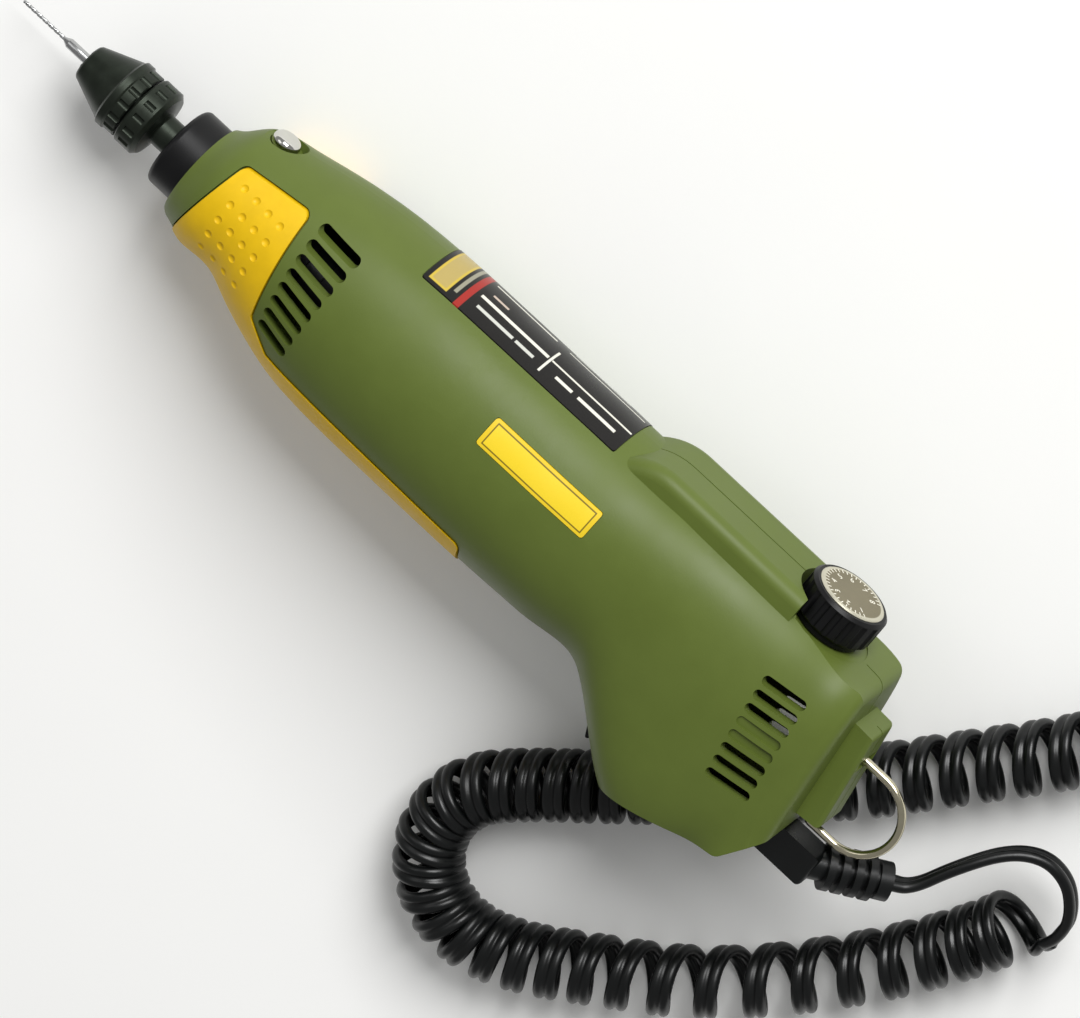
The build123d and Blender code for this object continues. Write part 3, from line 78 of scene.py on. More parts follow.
@dataclass(frozen=True)
class Lie:
    """How the tool lies on the floor: turned about the floor's Y axis, then shifted and lifted.

    The tool's own axes run rearwards along the spindle (X), out of the back (Y) and out of the left flank (Z),
    in millimetres from the middle of the nose face.
    """

    tilt: float = math.radians(6.2)
    nose: tuple[float, float, float] = (-80.3945, 3.472, 16.408)

    def turned(self, vectors: np.ndarray) -> np.ndarray:
        """Turns vectors of the tool's axes into the floor's axes.

        Args:
            vectors: Array whose last axis holds X, Y and Z.

        Returns:
            The vectors turned by the tilt about the floor's Y axis.
        """
        cosine, sine = math.cos(self.tilt), math.sin(self.tilt)
        turn = np.array([[cosine, 0, -sine], [0, 1, 0], [sine, 0, cosine]])
        return np.asarray(vectors, float) @ turn.T

    def placed(self, points: np.ndarray) -> np.ndarray:
        """Takes points of the tool in millimetres to the floor's frame in metres.

        Args:
            points: Array whose last axis holds X, Y and Z.

        Returns:
            The points turned, shifted and scaled.
        """
        return (self.turned(points) + np.array(self.nose)) * MM


LIE = Lie()


def linear(hex_code: str) -> tuple[float, float, float, float]:
    """Turns an sRGB hex colour into linear RGBA.

    Args:
        hex_code: Colour written as #RRGGBB.

    Returns:
        Red, green and blue in linear light, and an alpha of 1.
    """
    coded = np.array([int(hex_code[start:start + 2], 16) for start in (1, 3, 5)]) / 255
    light = np.where(coded <= 0.04045, coded / 12.92, ((coded + 0.055) / 1.055) ** 2.4)
    return (*light.tolist(), 1.0)


def unit(vectors: np.ndarray) -> np.ndarray:
    """Scales vectors to a length of one along their last axis."""
    return vectors / np.linalg.norm(vectors, axis=-1, keepdims=True)


def add_node(tree: bpy.types.NodeTree, kind: str, inputs: dict[Any, Any] | None = None,
             **settings: Any) -> bpy.types.Node:
    """Adds a node with its settings, and fills or links its inputs.

    Args:
        tree: Node tree that the node joins.
        kind: Blender's name for the node.
        inputs: Socket name or number to a value or to another node's output.
        **settings: Properties of the node.

    Returns:
        The new node.
    """
    made = tree.nodes.new(kind)
    for name, value in settings.items():
        setattr(made, name, value)
    for key, value in (inputs or {}).items():
        if isinstance(value, bpy.types.NodeSocket):
            tree.links.new(value, made.inputs[key])
        else:
            made.inputs[key].default_value = value
    return made


def mixed(tree: bpy.types.NodeTree, share: bpy.types.NodeSocket, under: Any, over: Any) -> bpy.types.NodeSocket:
    """Lays one colour over another. A mix node's colour sockets have their names in common, so they go by number.

    Args:
        tree: Node tree of the material.
        share: How much of the upper colour shows, from 0 to 1.
        under: Linear RGBA or socket of the lower colour.
        over: Linear RGBA or socket of the upper colour.

    Returns:
        The mixed colour's socket.
    """
    share_in, under_in, over_in, colour_out = 0, 6, 7, 2
    node = add_node(tree, "ShaderNodeMix", {share_in: share, under_in: under, over_in: over}, data_type="RGBA")
    return node.outputs[colour_out]


def spread(tree: bpy.types.NodeTree, value: bpy.types.NodeSocket, start: tuple[float, float],
           end: tuple[float, float]) -> bpy.types.NodeSocket:
    """Maps one range of values on to another, held at its ends.

    Args:
        tree: Node tree of the material.
        value: Socket of the value.
        start: Low and high value to map from.
        end: Values to map these two to.

    Returns:
        The mapped value's socket.
    """
    return add_node(tree, "ShaderNodeMapRange", {
        "Value": value, "From Min": start[0], "From Max": start[1], "To Min": end[0], "To Max": end[1],
    }).outputs["Result"]


def skin(name: str, grids: np.ndarray) -> bpy.types.Object:
    """Covers grids of points with faces: closed rings joined ring to ring, each end shut by one face.

    Args:
        name: Name of the new object.
        grids: Array of shape (pieces, rings, points, 3) in metres. Rings run round the piece, right-handed about
            the way from the first ring to the last, so that faces point outwards.

    Returns:
        A smooth-shaded object linked to the scene, its place in its mesh.
    """
    pieces, rings, points, _ = grids.shape
    index = np.arange(pieces * rings * points).reshape(pieces, rings, points)
    beside = np.roll(index, -1, axis=2)
    quads = np.stack([index[:, :-1], beside[:, :-1], beside[:, 1:], index[:, 1:]], axis=-1).reshape(-1, 4)
    caps = np.concatenate([index[:, 0, ::-1], index[:, -1]])
    mesh = bpy.data.meshes.new(name)
    mesh.from_pydata(grids.reshape(-1, 3).tolist(), [], quads.tolist() + caps.tolist())
    mesh.shade_smooth()
    return shown(name, mesh)


def shown(name: str, data: bpy.types.ID) -> bpy.types.Object:
    """Makes an object of a mesh, a light or a camera and links it to the scene."""
    made = bpy.data.objects.new(name, data)
    bpy.context.scene.collection.objects.link(made)
    return made


def stood(right: np.ndarray, up: np.ndarray, back: np.ndarray, place: np.ndarray) -> Matrix:
    """The matrix of a lamp or a camera that looks away from its back.

    Args:
        right: Unit vector to its right.
        up: Unit vector over its head.
        back: Unit vector out of its back.
        place: Where it stands, in metres.

    Returns:
        Its matrix in the scene.
    """
    turn = np.eye(4)
    turn[:3] = np.stack([right, up, back, place], axis=1)
    return Matrix(turn.tolist())


@dataclass(frozen=True)
class Finish:
    """A plain surface: a mottled colour, uneven gloss and a fine grain, all drawn in millimetres.

    Fields give the material's name, the colour (sRGB), the shader's own values, how much darker the mottling gets,
    the mottling's and the grain's size and the grain's height in millimetres, and how far the roughness wanders.
    """

    name: str
    base: str
    roughness: float
    metallic: float = 0.0
    ior: float = 1.5
    mottle: float = 0.08
    mottle_size: float = 5.0
    grain_size: float = 0.5
    grain_height: float = 0.01
    gloss_spread: float = 0.06

    def material(self) -> bpy.types.Material:
        """Makes the material.

        Returns:
            A node material with the finish's colour, gloss and grain.
        """
        made = bpy.data.materials.new(self.name)
        made.use_nodes = True
        tree = made.node_tree
        shader = tree.nodes["Principled BSDF"]
        shader.inputs["Metallic"].default_value = self.metallic
        shader.inputs["IOR"].default_value = self.ior
        spot = add_node(tree, "ShaderNodeTexCoord").outputs["Object"]
        place = add_node(tree, "ShaderNodeMapping", {
            "Vector": spot, "Location": tuple(value * MM for value in LIE.nose),
            "Rotation": (0, -LIE.tilt, 0), "Scale": (MM, MM, MM),
        }, vector_type="TEXTURE").outputs["Vector"]
        tree.links.new(self.colour(tree, place), shader.inputs["Base Color"])
        tree.links.new(self.gloss(tree, place), shader.inputs["Roughness"])
        bump = add_node(tree, "ShaderNodeBump", {
            "Height": self.grain(tree, place), "Distance": self.grain_height * MM,
        })
        tree.links.new(bump.outputs["Normal"], shader.inputs["Normal"])
        return made

    def colour(self, tree: bpy.types.NodeTree, place: bpy.types.NodeSocket) -> bpy.types.NodeSocket:
        """The base colour, darker in soft patches.

        Args:
            tree: Node tree of the material.
            place: Tool coordinates in millimetres.

        Returns:
            The colour's socket.
        """
        patches = add_node(tree, "ShaderNodeTexNoise", {
            "Vector": place, "Scale": 1 / self.mottle_size, "Detail": 3.0, "Roughness": 0.55,
        }).outputs["Fac"]
        base = linear(self.base)
        dark = (*(np.array(base[:3]) * (1 - self.mottle)).tolist(), 1.0)
        return mixed(tree, spread(tree, patches, NOISE_BAND, (0.0, 1.0)), dark, base)

    def gloss(self, tree: bpy.types.NodeTree, place: bpy.types.NodeSocket) -> bpy.types.NodeSocket:
        """Roughness that wanders a little about its middle value.

        Args:
            tree: Node tree of the material.
            place: Tool coordinates in millimetres.

        Returns:
            The roughness's socket.
        """
        smears = add_node(tree, "ShaderNodeTexNoise", {
            "Vector": place, "Scale": 1 / (2 * self.mottle_size), "Detail": 4.0,
        }).outputs["Fac"]
        return spread(tree, smears, NOISE_BAND,
                      (self.roughness - self.gloss_spread, self.roughness + self.gloss_spread))

    def grain(self, tree: bpy.types.NodeTree, place: bpy.types.NodeSocket) -> bpy.types.NodeSocket:
        """Height of the grain, from 0 to 1.

        Args:
            tree: Node tree of the material.
            place: Tool coordinates in millimetres.

        Returns:
            The height's socket.
        """
        return add_node(tree, "ShaderNodeTexNoise", {
            "Vector": place, "Scale": 1 / self.grain_size, "Detail": 2.0, "Roughness": 0.6,
        }).outputs["Fac"]


@dataclass(frozen=True)
class TurnedFinish(Finish):
    """Metal turned or drawn along the spindle's axis: the grain runs in fine rings round it."""

    ring_pitch: float = 0.35

    def grain(self, tree: bpy.types.NodeTree, place: bpy.types.NodeSocket) -> bpy.types.NodeSocket:
        """Height of the rings: noise of the X place alone, so that it is even all the way round.

        Args:
            tree: Node tree of the material.
            place: Tool coordinates in millimetres.

        Returns:
            The height's socket.
        """
        along = add_node(tree, "ShaderNodeSeparateXYZ", {"Vector": place}).outputs["X"]
        return add_node(tree, "ShaderNodeTexNoise", {
            "W": along, "Scale": 1 / self.ring_pitch, "Detail": 2.0,
        }, noise_dimensions="1D").outputs["Fac"]


@dataclass(frozen=True)
class Bar:
    """A printed bar: its middle and half size along the tool and across it, in millimetres, and its colour."""

    along: float
    across: float
    half_along: float
    half_across: float
    colour: str


@dataclass(frozen=True)
class PrintedFoil(Finish):
    """Self-adhesive foil with printed bars, laid out along the tool's X axis and across it along a second one.

    Fields add that second axis, how far a bar's edge is softened in millimetres, and the bars from the lowest up.
    """

    across: str = "Z"
    edge: float = 0.08
    bars: tuple[Bar, ...] = ()

    def colour(self, tree: bpy.types.NodeTree, place: bpy.types.NodeSocket) -> bpy.types.NodeSocket:
        """The foil's colour with each bar over it: a bar covers where both distances are under its half sizes.

        Args:
            tree: Node tree of the material.
            place: Tool coordinates in millimetres.

        Returns:
            The colour's socket.
        """
        painted = super().colour(tree, place)
        axes = add_node(tree, "ShaderNodeSeparateXYZ", {"Vector": place}).outputs
        for bar in self.bars:
            covers = []
            for axis, middle, half in (("X", bar.along, bar.half_along), (self.across, bar.across, bar.half_across)):
                offset = add_node(tree, "ShaderNodeMath", {0: axes[axis], 1: middle}, operation="SUBTRACT")
                far = add_node(tree, "ShaderNodeMath", {0: offset.outputs[0]}, operation="ABSOLUTE")
                covers.append(spread(tree, far.outputs[0], (half - self.edge, half + self.edge), (1.0, 0.0)))
            share = add_node(tree, "ShaderNodeMath", {0: covers[0], 1: covers[1]}, operation="MULTIPLY")
            painted = mixed(tree, share.outputs[0], painted, linear(bar.colour))
        return painted


# Glass-filled polyamide from a spark-eroded mould: satin, with a fine even grain. The real grain is about 0.1 mm,
# drawn at 0.45 mm so that it shows.
SHELL = Finish("moulded_polyamide_olive", "#586629", 0.45, ior=1.36, mottle=0.06, mottle_size=9.0,
               grain_size=0.45, grain_height=0.012)
# Thermoplastic elastomer moulded on to the shell: matt, warm and slightly uneven.
GRIP = Finish("moulded_elastomer_yellow", "#DEB404", 0.5, ior=1.36, mottle=0.08, mottle_size=4.0,
              grain_size=0.4, grain_height=0.015)
# Satin black polyamide of the collar, the knob, the rocker and plastic pieces inside.
NYLON = Finish("moulded_polyamide_black", "#0D0D0E", 0.4, ior=1.32, mottle=0.2, grain_size=0.4,
               grain_height=0.012)
# Black-oxide steel of the chuck, oiled: dark with a soft greenish shine and turning marks.
BLACKENED = TurnedFinish("blackened_steel_oiled", "#2D332B", 0.34, metallic=0.75, mottle=0.3, mottle_size=3.0,
                         grain_height=0.006)
# Polished chromium plate of the lock button.
CHROME = Finish("chromium_plate_polished", "#D9D8D2", 0.09, metallic=1.0, mottle=0.06, mottle_size=3.0,
                grain_size=1.2, grain_height=0.002, gloss_spread=0.03)
# Nickel-plated spring wire of the hanging bail: warm, with drawing marks.
NICKEL = Finish("nickel_plated_wire", "#CFC8AE", 0.16, metallic=1.0, mottle=0.12, mottle_size=2.0,
                grain_size=0.7, grain_height=0.004, gloss_spread=0.04)
# Ground tool steel of the bit, jaws, spindle and shafts.
GROUND = TurnedFinish("ground_tool_steel", "#B9BABA", 0.24, metallic=1.0, mottle=0.1, grain_height=0.004)
# Flexible vinyl of the cord and its strain relief: black with a soft wet-looking shine.
VINYL = Finish("flexible_vinyl_black", "#0A0C0C", 0.33, ior=1.4, mottle=0.25, mottle_size=6.0, grain_size=0.9,
               grain_height=0.02, gloss_spread=0.07)

# Printed foil of the rating plate: black with a yellow field, a red stripe and plain pale rules.
PALE, DULL, RED, FIELD = "#D8D6CA", "#BFC0B8", "#97261F", "#BDA53E"
RATING = PrintedFoil("printed_foil_black", "#12100E", 0.33, ior=1.36, mottle=0.15, grain_height=0.002, bars=(
    Bar(57.6, 0.0, 2.5, 10.2, FIELD), Bar(57.6, 0.0, 1.95, 9.65, "#A99658"), Bar(61.4, 0.0, 0.45, 8.8, "#8D8A78"),
    Bar(63.6, 0.0, 0.8, 11.5, RED), Bar(86.0, 4.6, 0.28, 4.6, PALE), Bar(98.0, 4.4, 11.6, 0.26, PALE),
    Bar(75.5, 4.4, 9.8, 0.5, PALE), Bar(72.0, 7.6, 5.2, 0.42, DULL), Bar(80.6, 7.6, 2.6, 0.42, DULL),
    Bar(69.5, 1.4, 2.2, 0.4, "#B9A89A"), Bar(92.0, 7.4, 2.4, 0.42, PALE), Bar(101.5, 7.4, 5.4, 0.42, PALE),
    Bar(74.5, -4.4, 8.8, 0.42, PALE), Bar(98.0, -4.4, 11.0, 0.26, PALE), Bar(96.0, -7.4, 8.0, 0.42, DULL),
))
# Printed foil of the name plate: yellow with a thin dark border line inside a yellow rim.
BADGE = PrintedFoil("printed_foil_yellow", "#E2C21F", 0.36, mottle=0.06, grain_height=0.002, across="Y", bars=(
    Bar(102.5, 10.3, 14.3, 2.75, "#6A5A12"), Bar(102.5, 10.3, 14.0, 2.45, "#E6C824"),
))

# Matt white paper of the floor.
PAPER = Finish("matt_white_paper", "#FAFAF8", 0.85, mottle=0.01, mottle_size=60.0)

# Finishes of the inner pieces, by the record's slots. The heat sink, alone in its slot, is coloured near black as
# painted shade, so that the housing looks dark inside through the rear vents.
INNER = {
    "zinc_steel": Finish("zinc_plated_steel", "#A9ABAD", 0.36, metallic=1.0, mottle=0.15, mottle_size=2.5),
    "spring_steel": Finish("drawn_spring_steel", "#8C8D8F", 0.3, metallic=1.0, grain_size=0.3),
    "bearing_steel": TurnedFinish("ground_bearing_steel", "#BDBEC0", 0.16, metallic=1.0, grain_height=0.002),
    "bronze": Finish("sintered_bronze", "#8E6A3C", 0.5, metallic=1.0, mottle=0.25, mottle_size=0.6),
    "ferrite": Finish("pressed_ferrite", "#2B2B2C", 0.6, mottle=0.3, mottle_size=0.8),
    "core_iron": TurnedFinish("stacked_core_iron", "#6B6C6E", 0.45, metallic=1.0, ring_pitch=0.5,
                              grain_height=0.05),
    "copper": TurnedFinish("enamelled_copper", "#A2552B", 0.28, metallic=1.0, ring_pitch=0.4, grain_height=0.05),
    "brass": Finish("pressed_brass", "#C7A24F", 0.26, metallic=1.0, mottle=0.15, mottle_size=2.0),
    "board_green": Finish("glass_epoxy_board", "#1F5A32", 0.4, mottle=0.2, mottle_size=1.5),
    # Painted shade: the heat sink's near-black colour stands in for the shade inside the housing behind the rear
    # vents.
    "aluminium": Finish("aluminium_painted_shade_black", "#141517", 0.45, metallic=0.3, mottle=0.15),
}
BY_SLOT = {
    **INNER, "housing_green": SHELL, "grip_yellow": GRIP, "black_nylon": NYLON, "blackened_steel": BLACKENED,
    "chrome": CHROME, "bright_steel": GROUND, "cord_rubber": VINYL, "plate_black": RATING, "badge_yellow": BADGE,
}


@cache
def material_of(finish: Finish) -> bpy.types.Material:
    """The one material of a finish."""
    return finish.material()


def dress(piece: bpy.types.Object, finish: Finish) -> bpy.types.Object:
    """Gives every face of a piece one finish."""
    piece.data.materials.clear()
    piece.data.materials.append(material_of(finish))
    return piece


def meshed(curve: bpy.types.Curve) -> tuple[np.ndarray, list[list[int]]]:
    """Reads a curve or a text as a mesh, and removes it.

    Args:
        curve: Scratch curve or text.

    Returns:
        Its points, one row each, and the corners of each of its faces.
    """
    holder = bpy.data.objects.new(curve.name, curve)
    mesh = bpy.data.meshes.new_from_object(holder)
    places = np.empty(3 * len(mesh.vertices))
    mesh.vertices.foreach_get("co", places)
    faces = [list(face.vertices) for face in mesh.polygons]
    bpy.data.meshes.remove(mesh)
    bpy.data.objects.remove(holder)
    bpy.data.curves.remove(curve)
    return places.reshape(-1, 3), faces


def spline_points(name: str, route: tuple[tuple[float, ...], ...], resolution: int) -> np.ndarray:
    """Reads points along a smooth curve that has the route's points as its control points.

    Args:
        name: Name for the scratch curve.
        route: Control points in millimetres, in the floor's frame.
        resolution: Points read for each control point.

    Returns:
        Points of the clamped quadratic spline in millimetres, evenly spaced in its parameter.
    """
    curve = bpy.data.curves.new(name, "CURVE")
    curve.dimensions = "3D"
    spline = curve.splines.new("NURBS")
    spline.points.add(len(route) - 1)
    weighted = np.c_[np.array(route) * MM, np.ones(len(route))]
    spline.points.foreach_set("co", weighted.ravel())
    spline.order_u = 3
    spline.use_endpoint_u = True
    spline.resolution_u = resolution
    return meshed(curve)[0] / MM


@dataclass
class CurlyCord:
    """Flat twin cord: a lead from the strain relief, curls along a loop on the floor, and a tail to the plug.

    Sizes in millimetres. Routes are control points in the floor's frame before the shift; the lead's and the tail's
    leave out the points at the curls' ends, which follow from the curls. There is one pitch for each point of the
    curl's route. The waist is half the angle of a strand's arc, the runs are straight on from the curls' ends, the
    blend counts points to either side, and a resolution counts points read for each control point.
    """

    shift: tuple[float, float, float] = (*LIE.nose[:2], 0.0)
    strand_radius: float = 1.3
    curl_radius: float = 6.95
    curl_level: float = 8.45
    start_angle: float = math.radians(35)
    open_pitch: float = 90.0
    lead_fade: float = 2.5
    tail_fade: float = 5.0
    strand_points: int = 14
    waist: float = math.radians(150)
    blend: int = 5
    curl_resolution: int = 100
    run_resolution: int = 10
    lead_route: tuple[tuple[float, float, float], ...] = (
        (208.78, -19.11, 31.32), (212.21, -18.07, 29.54), (216.93, -16.63, 27.11), (221.0, -7.6, 25.4),
        (227.4, 1.8, 21.4), (234.4, 5.6, 18.8), (241.4, 4.2, 17.5), (246.2, -0.8, 16.4),
    )
    lead_run: float = 6.6
    curl_route: tuple[tuple[float, float], ...] = (
        (242.3, -10.4), (239.2, -17.2), (236.0, -24.4), (229.9, -35.2), (220.7, -49.2), (206.5, -67.1),
        (192.8, -80.4), (177.0, -91.6), (162.0, -101.9), (150.0, -106.0), (139.1, -103.6), (131.5, -96.3),
        (128.6, -86.5), (130.9, -76.5), (138.9, -67.6), (154.0, -54.2), (168.6, -40.6), (182.9, -26.4),
        (196.2, -12.5), (209.2, 4.4), (224.2, 23.2), (235.0, 40.0), (240.0, 57.0), (240.0, 76.4),
    )
    curl_pitches: tuple[float, ...] = (
        6.0, 6.0, 6.3, 7.6, 9.4, 11.2, 11.2, 9.4, 7.4, 6.5, 6.2, 6.2, 6.2, 6.2, 6.2, 6.3, 7.0, 7.8, 8.3, 8.4, 8.4,
        8.2, 8.0, 8.0,
    )
    tail_run: float = 9.0
    tail_route: tuple[tuple[float, float, float], ...] = (
        (256.5, 86.5, 2.2), (254.5, 94.0, 2.8), (247.0, 97.5, 3.6), (238.0, 100.0, 4.55), (231.6, 104.8, 4.55),
        (229.2, 106.6, 4.55),
    )

    def curls(self) -> tuple[np.ndarray, np.ndarray]:
        """The helix round the curls' axis, and the way from the axis to it.

        The axis is the smooth curve of the curl's route. The angle falls by a full turn for each pitch travelled,
        the pitch runs straight from one route point's value to the next and opens out at both ends, and each
        point is axis + radius (across cos angle + up sin angle). It ends where the cord lies on the floor.

        Returns:
            Points in millimetres and unit vectors from the axis, one row each.
        """
        level = tuple((x, y, self.curl_level) for x, y in self.curl_route)
        axis = spline_points("curl_axis", level, self.curl_resolution)
        spans = len(self.curl_route) - 2
        run = np.linspace(0, spans, len(axis))
        steps = np.linalg.norm(np.diff(axis, axis=0), axis=1)
        travelled = np.concatenate([[0.0], np.cumsum(steps)])
        knots = np.array([*self.curl_pitches[1:spans + 1], self.curl_pitches[spans]])
        pitch = np.interp((run[1:] + run[:-1]) / 2, np.arange(spans + 1), knots)
        opened = np.maximum(np.exp(-travelled[:-1] / self.lead_fade),
                            np.exp((travelled[:-1] - travelled[-1]) / self.tail_fade))
        pitch += (self.open_pitch - pitch) * opened
        turned = np.concatenate([[0.0], np.cumsum(2 * math.pi * steps / pitch)])
        lowest = math.pi / 2 + self.start_angle
        last = lowest + 2 * math.pi * math.floor((turned[-1] - lowest) / (2 * math.pi))
        heading = unit(np.gradient(axis, axis=0))
        across = np.cross(UP, heading)
        angle = (self.start_angle - turned)[:, None]
        outwards = across * np.cos(angle) + UP * np.sin(angle)
        kept = turned <= last
        return (axis + self.curl_radius * outwards)[kept], outwards[kept]

    def path(self) -> tuple[np.ndarray, np.ndarray]:
        """The cord's whole middle line and its thin direction.

        On the lead the flat cord stands on edge, in the curls its flat side lies on the coil, and on the tail it
        lies flat on the floor. The thin direction is averaged over neighbouring points where these meet.

        Returns:
            Points in millimetres with the shift added, and vectors of about unit length, one row each.
        """
        curls, outwards = self.curls()
        first, last = curls[0], curls[-1]
        before = first - self.lead_run * unit(curls[1] - first)
        after = last + self.tail_run * unit(last - curls[-2])
        lead_route = (*self.lead_route, tuple(before), tuple(first))
        tail_route = (tuple(last), tuple(after), *self.tail_route)
        lead = spline_points("cord_lead_line", lead_route, self.run_resolution)[:-1]
        tail = spline_points("cord_tail_line", tail_route, self.run_resolution)[1:]
        on_edge = unit(np.cross(UP, np.gradient(lead, axis=0)))
        flat = np.tile(-UP, (len(tail), 1))
        points = np.concatenate([lead, curls, tail])
        thin = np.concatenate([on_edge, outwards, flat])
        weights = np.hanning(2 * self.blend + 1)
        window = weights / weights.sum()
        padded = np.pad(thin, ((self.blend, self.blend), (0, 0)), mode="edge")
        smooth = np.stack([np.convolve(column, window, mode="valid") for column in padded.T], axis=1)
        return points + np.array(self.shift), smooth

    def build(self) -> bpy.types.Object:
        """Builds the cord as one skin: two round strands side by side, carried along the path.

        Each ring is two arcs of the strand's radius about middles one radius to either side, so that the cord is
        four radii wide and two thick, with a groove along both flat sides.

        Returns:
            The cord, riding on the housing.
        """
        points, thin = self.path()
        way = unit(np.gradient(points, axis=0))
        wide = unit(np.cross(way, thin))
        thin = np.cross(wide, way)
        arc = np.linspace(-self.waist, self.waist, self.strand_points)
        ring_wide = np.concatenate([1 + np.cos(arc), -1 - np.cos(arc)]) * self.strand_radius
        ring_thin = np.concatenate([np.sin(arc), -np.sin(arc)]) * self.strand_radius
        rings = points[:, None] + wide[:, None] * ring_wide[:, None] + thin[:, None] * -ring_thin[:, None]
        cord = skin("curly_cord", rings[None] * MM)
        dress(cord, VINYL)
        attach(cord, Body.HOUSING.value)
        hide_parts("cord_lead", "cord_curls", "cord_tail")
        return cord


@dataclass
class TwistBit:
    """The drill bit: a round shank, a short cone and two spiral flutes up to the point.

    Sizes in millimetres; places run along the tool's X axis. The flutes' depth is a share of the radius.
    """

    rear: float = -18.0
    shank_front: float = -40.2
    cone_front: float = -41.6
    tip: float = -54.0
    shank_radius: float = 1.175
    bit_radius: float = 0.45
    point_length: float = 0.3
    point_radius: float = 0.02
    flute_depth: float = 0.3
    flute_pitch: float = 3.4
    flute_fade: float = 0.8
    shank_rows: int = 8
    rows: int = 220
    columns: int = 28

    def build(self) -> bpy.types.Object:
        """Builds the bit as one skin of rings from its rear to its point.

        A ring's radius falls from the shank's to the bit's over the cone and to almost nothing over the point.
        In front of the cone it is cut by two smooth troughs of the flutes' depth, which turn once for each pitch
        travelled.

        Returns:
            The bit, riding on the rotor in place of its solid.
        """
        x = np.concatenate([
            np.linspace(self.rear, self.shank_front, self.shank_rows),
            np.linspace(self.shank_front, self.tip, self.rows)[1:],
        ])
        places = [self.rear, self.shank_front, self.cone_front, self.tip + self.point_length, self.tip]
        radii = [self.shank_radius, self.shank_radius, self.bit_radius, self.bit_radius, self.point_radius]
        radius = np.interp(-x, -np.array(places), radii)
        fluted = np.clip((self.cone_front - x) / self.flute_fade, 0, 1)[:, None]
        angle = np.linspace(0, 2 * math.pi, self.columns, endpoint=False)
        wave = np.cos(2 * (angle - 2 * math.pi * x[:, None] / self.flute_pitch))
        reach = radius[:, None] * (1 - self.flute_depth * fluted * np.clip(wave, 0, None))
        rings = np.stack([np.broadcast_to(x[:, None], reach.shape), reach * np.sin(angle), reach * np.cos(angle)],
                         axis=-1)
        bit = skin("twist_bit", LIE.placed(rings)[None])
        dress(bit, GROUND)
        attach(bit, Body.ROTOR.value)
        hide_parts("drill_bit")
        log.info("twist_bit: %d rings", len(x))
        return bit


@dataclass(frozen=True)
class SpunDial(Finish):
    """A spun metal disc on the knob's axis with a paler polished rim.

    Fields add, in millimetres, where the axis stands, where the rim starts and how soft its edge is, then the rim's
    colour (sRGB) and the spinning marks' size in millimetres.
    """

    axis_x: float = KNOB_X
    rim_start: float = 7.2
    rim_edge: float = 0.1
    rim: str = "#CDC9B6"
    spin_pitch: float = 0.3

    def from_axis(self, tree: bpy.types.NodeTree, place: bpy.types.NodeSocket) -> bpy.types.NodeSocket:
        """Distance from the knob's axis in millimetres.

        Args:
            tree: Node tree of the material.
            place: Tool coordinates in millimetres.

        Returns:
            The distance's socket.
        """
        level = add_node(tree, "ShaderNodeVectorMath", {0: place, 1: (1, 0, 1)}, operation="MULTIPLY")
        return add_node(tree, "ShaderNodeVectorMath", {0: level.outputs[0], 1: (self.axis_x, 0, 0)},
                        operation="DISTANCE").outputs["Value"]

    def colour(self, tree: bpy.types.NodeTree, place: bpy.types.NodeSocket) -> bpy.types.NodeSocket:
        """The disc's colour inside the rim, and the rim's colour from where it starts.

        Args:
            tree: Node tree of the material.
            place: Tool coordinates in millimetres.

        Returns:
            The colour's socket.
        """
        edge = (self.rim_start - self.rim_edge, self.rim_start + self.rim_edge)
        share = spread(tree, self.from_axis(tree, place), edge, (0.0, 1.0))
        return mixed(tree, share, super().colour(tree, place), linear(self.rim))

    def grain(self, tree: bpy.types.NodeTree, place: bpy.types.NodeSocket) -> bpy.types.NodeSocket:
        """Height of the spinning marks: noise of the distance from the axis alone.

        Args:
            tree: Node tree of the material.
            place: Tool coordinates in millimetres.

        Returns:
            The height's socket.
        """
        return add_node(tree, "ShaderNodeTexNoise", {
            "W": self.from_axis(tree, place), "Scale": 1 / self.spin_pitch, "Detail": 2.0,
        }, noise_dimensions="1D").outputs["Fac"]


# Spun and anodised aluminium of the dial.
DIAL = SpunDial("spun_aluminium_dial", "#877F66", 0.34, metallic=0.85, mottle=0.12, grain_height=0.008)
# Pale enamel filled into the dial's marks.
ENAMEL = Finish("filled_enamel_pale", "#E4E1D2", 0.4, mottle=0.05, grain_height=0.002)


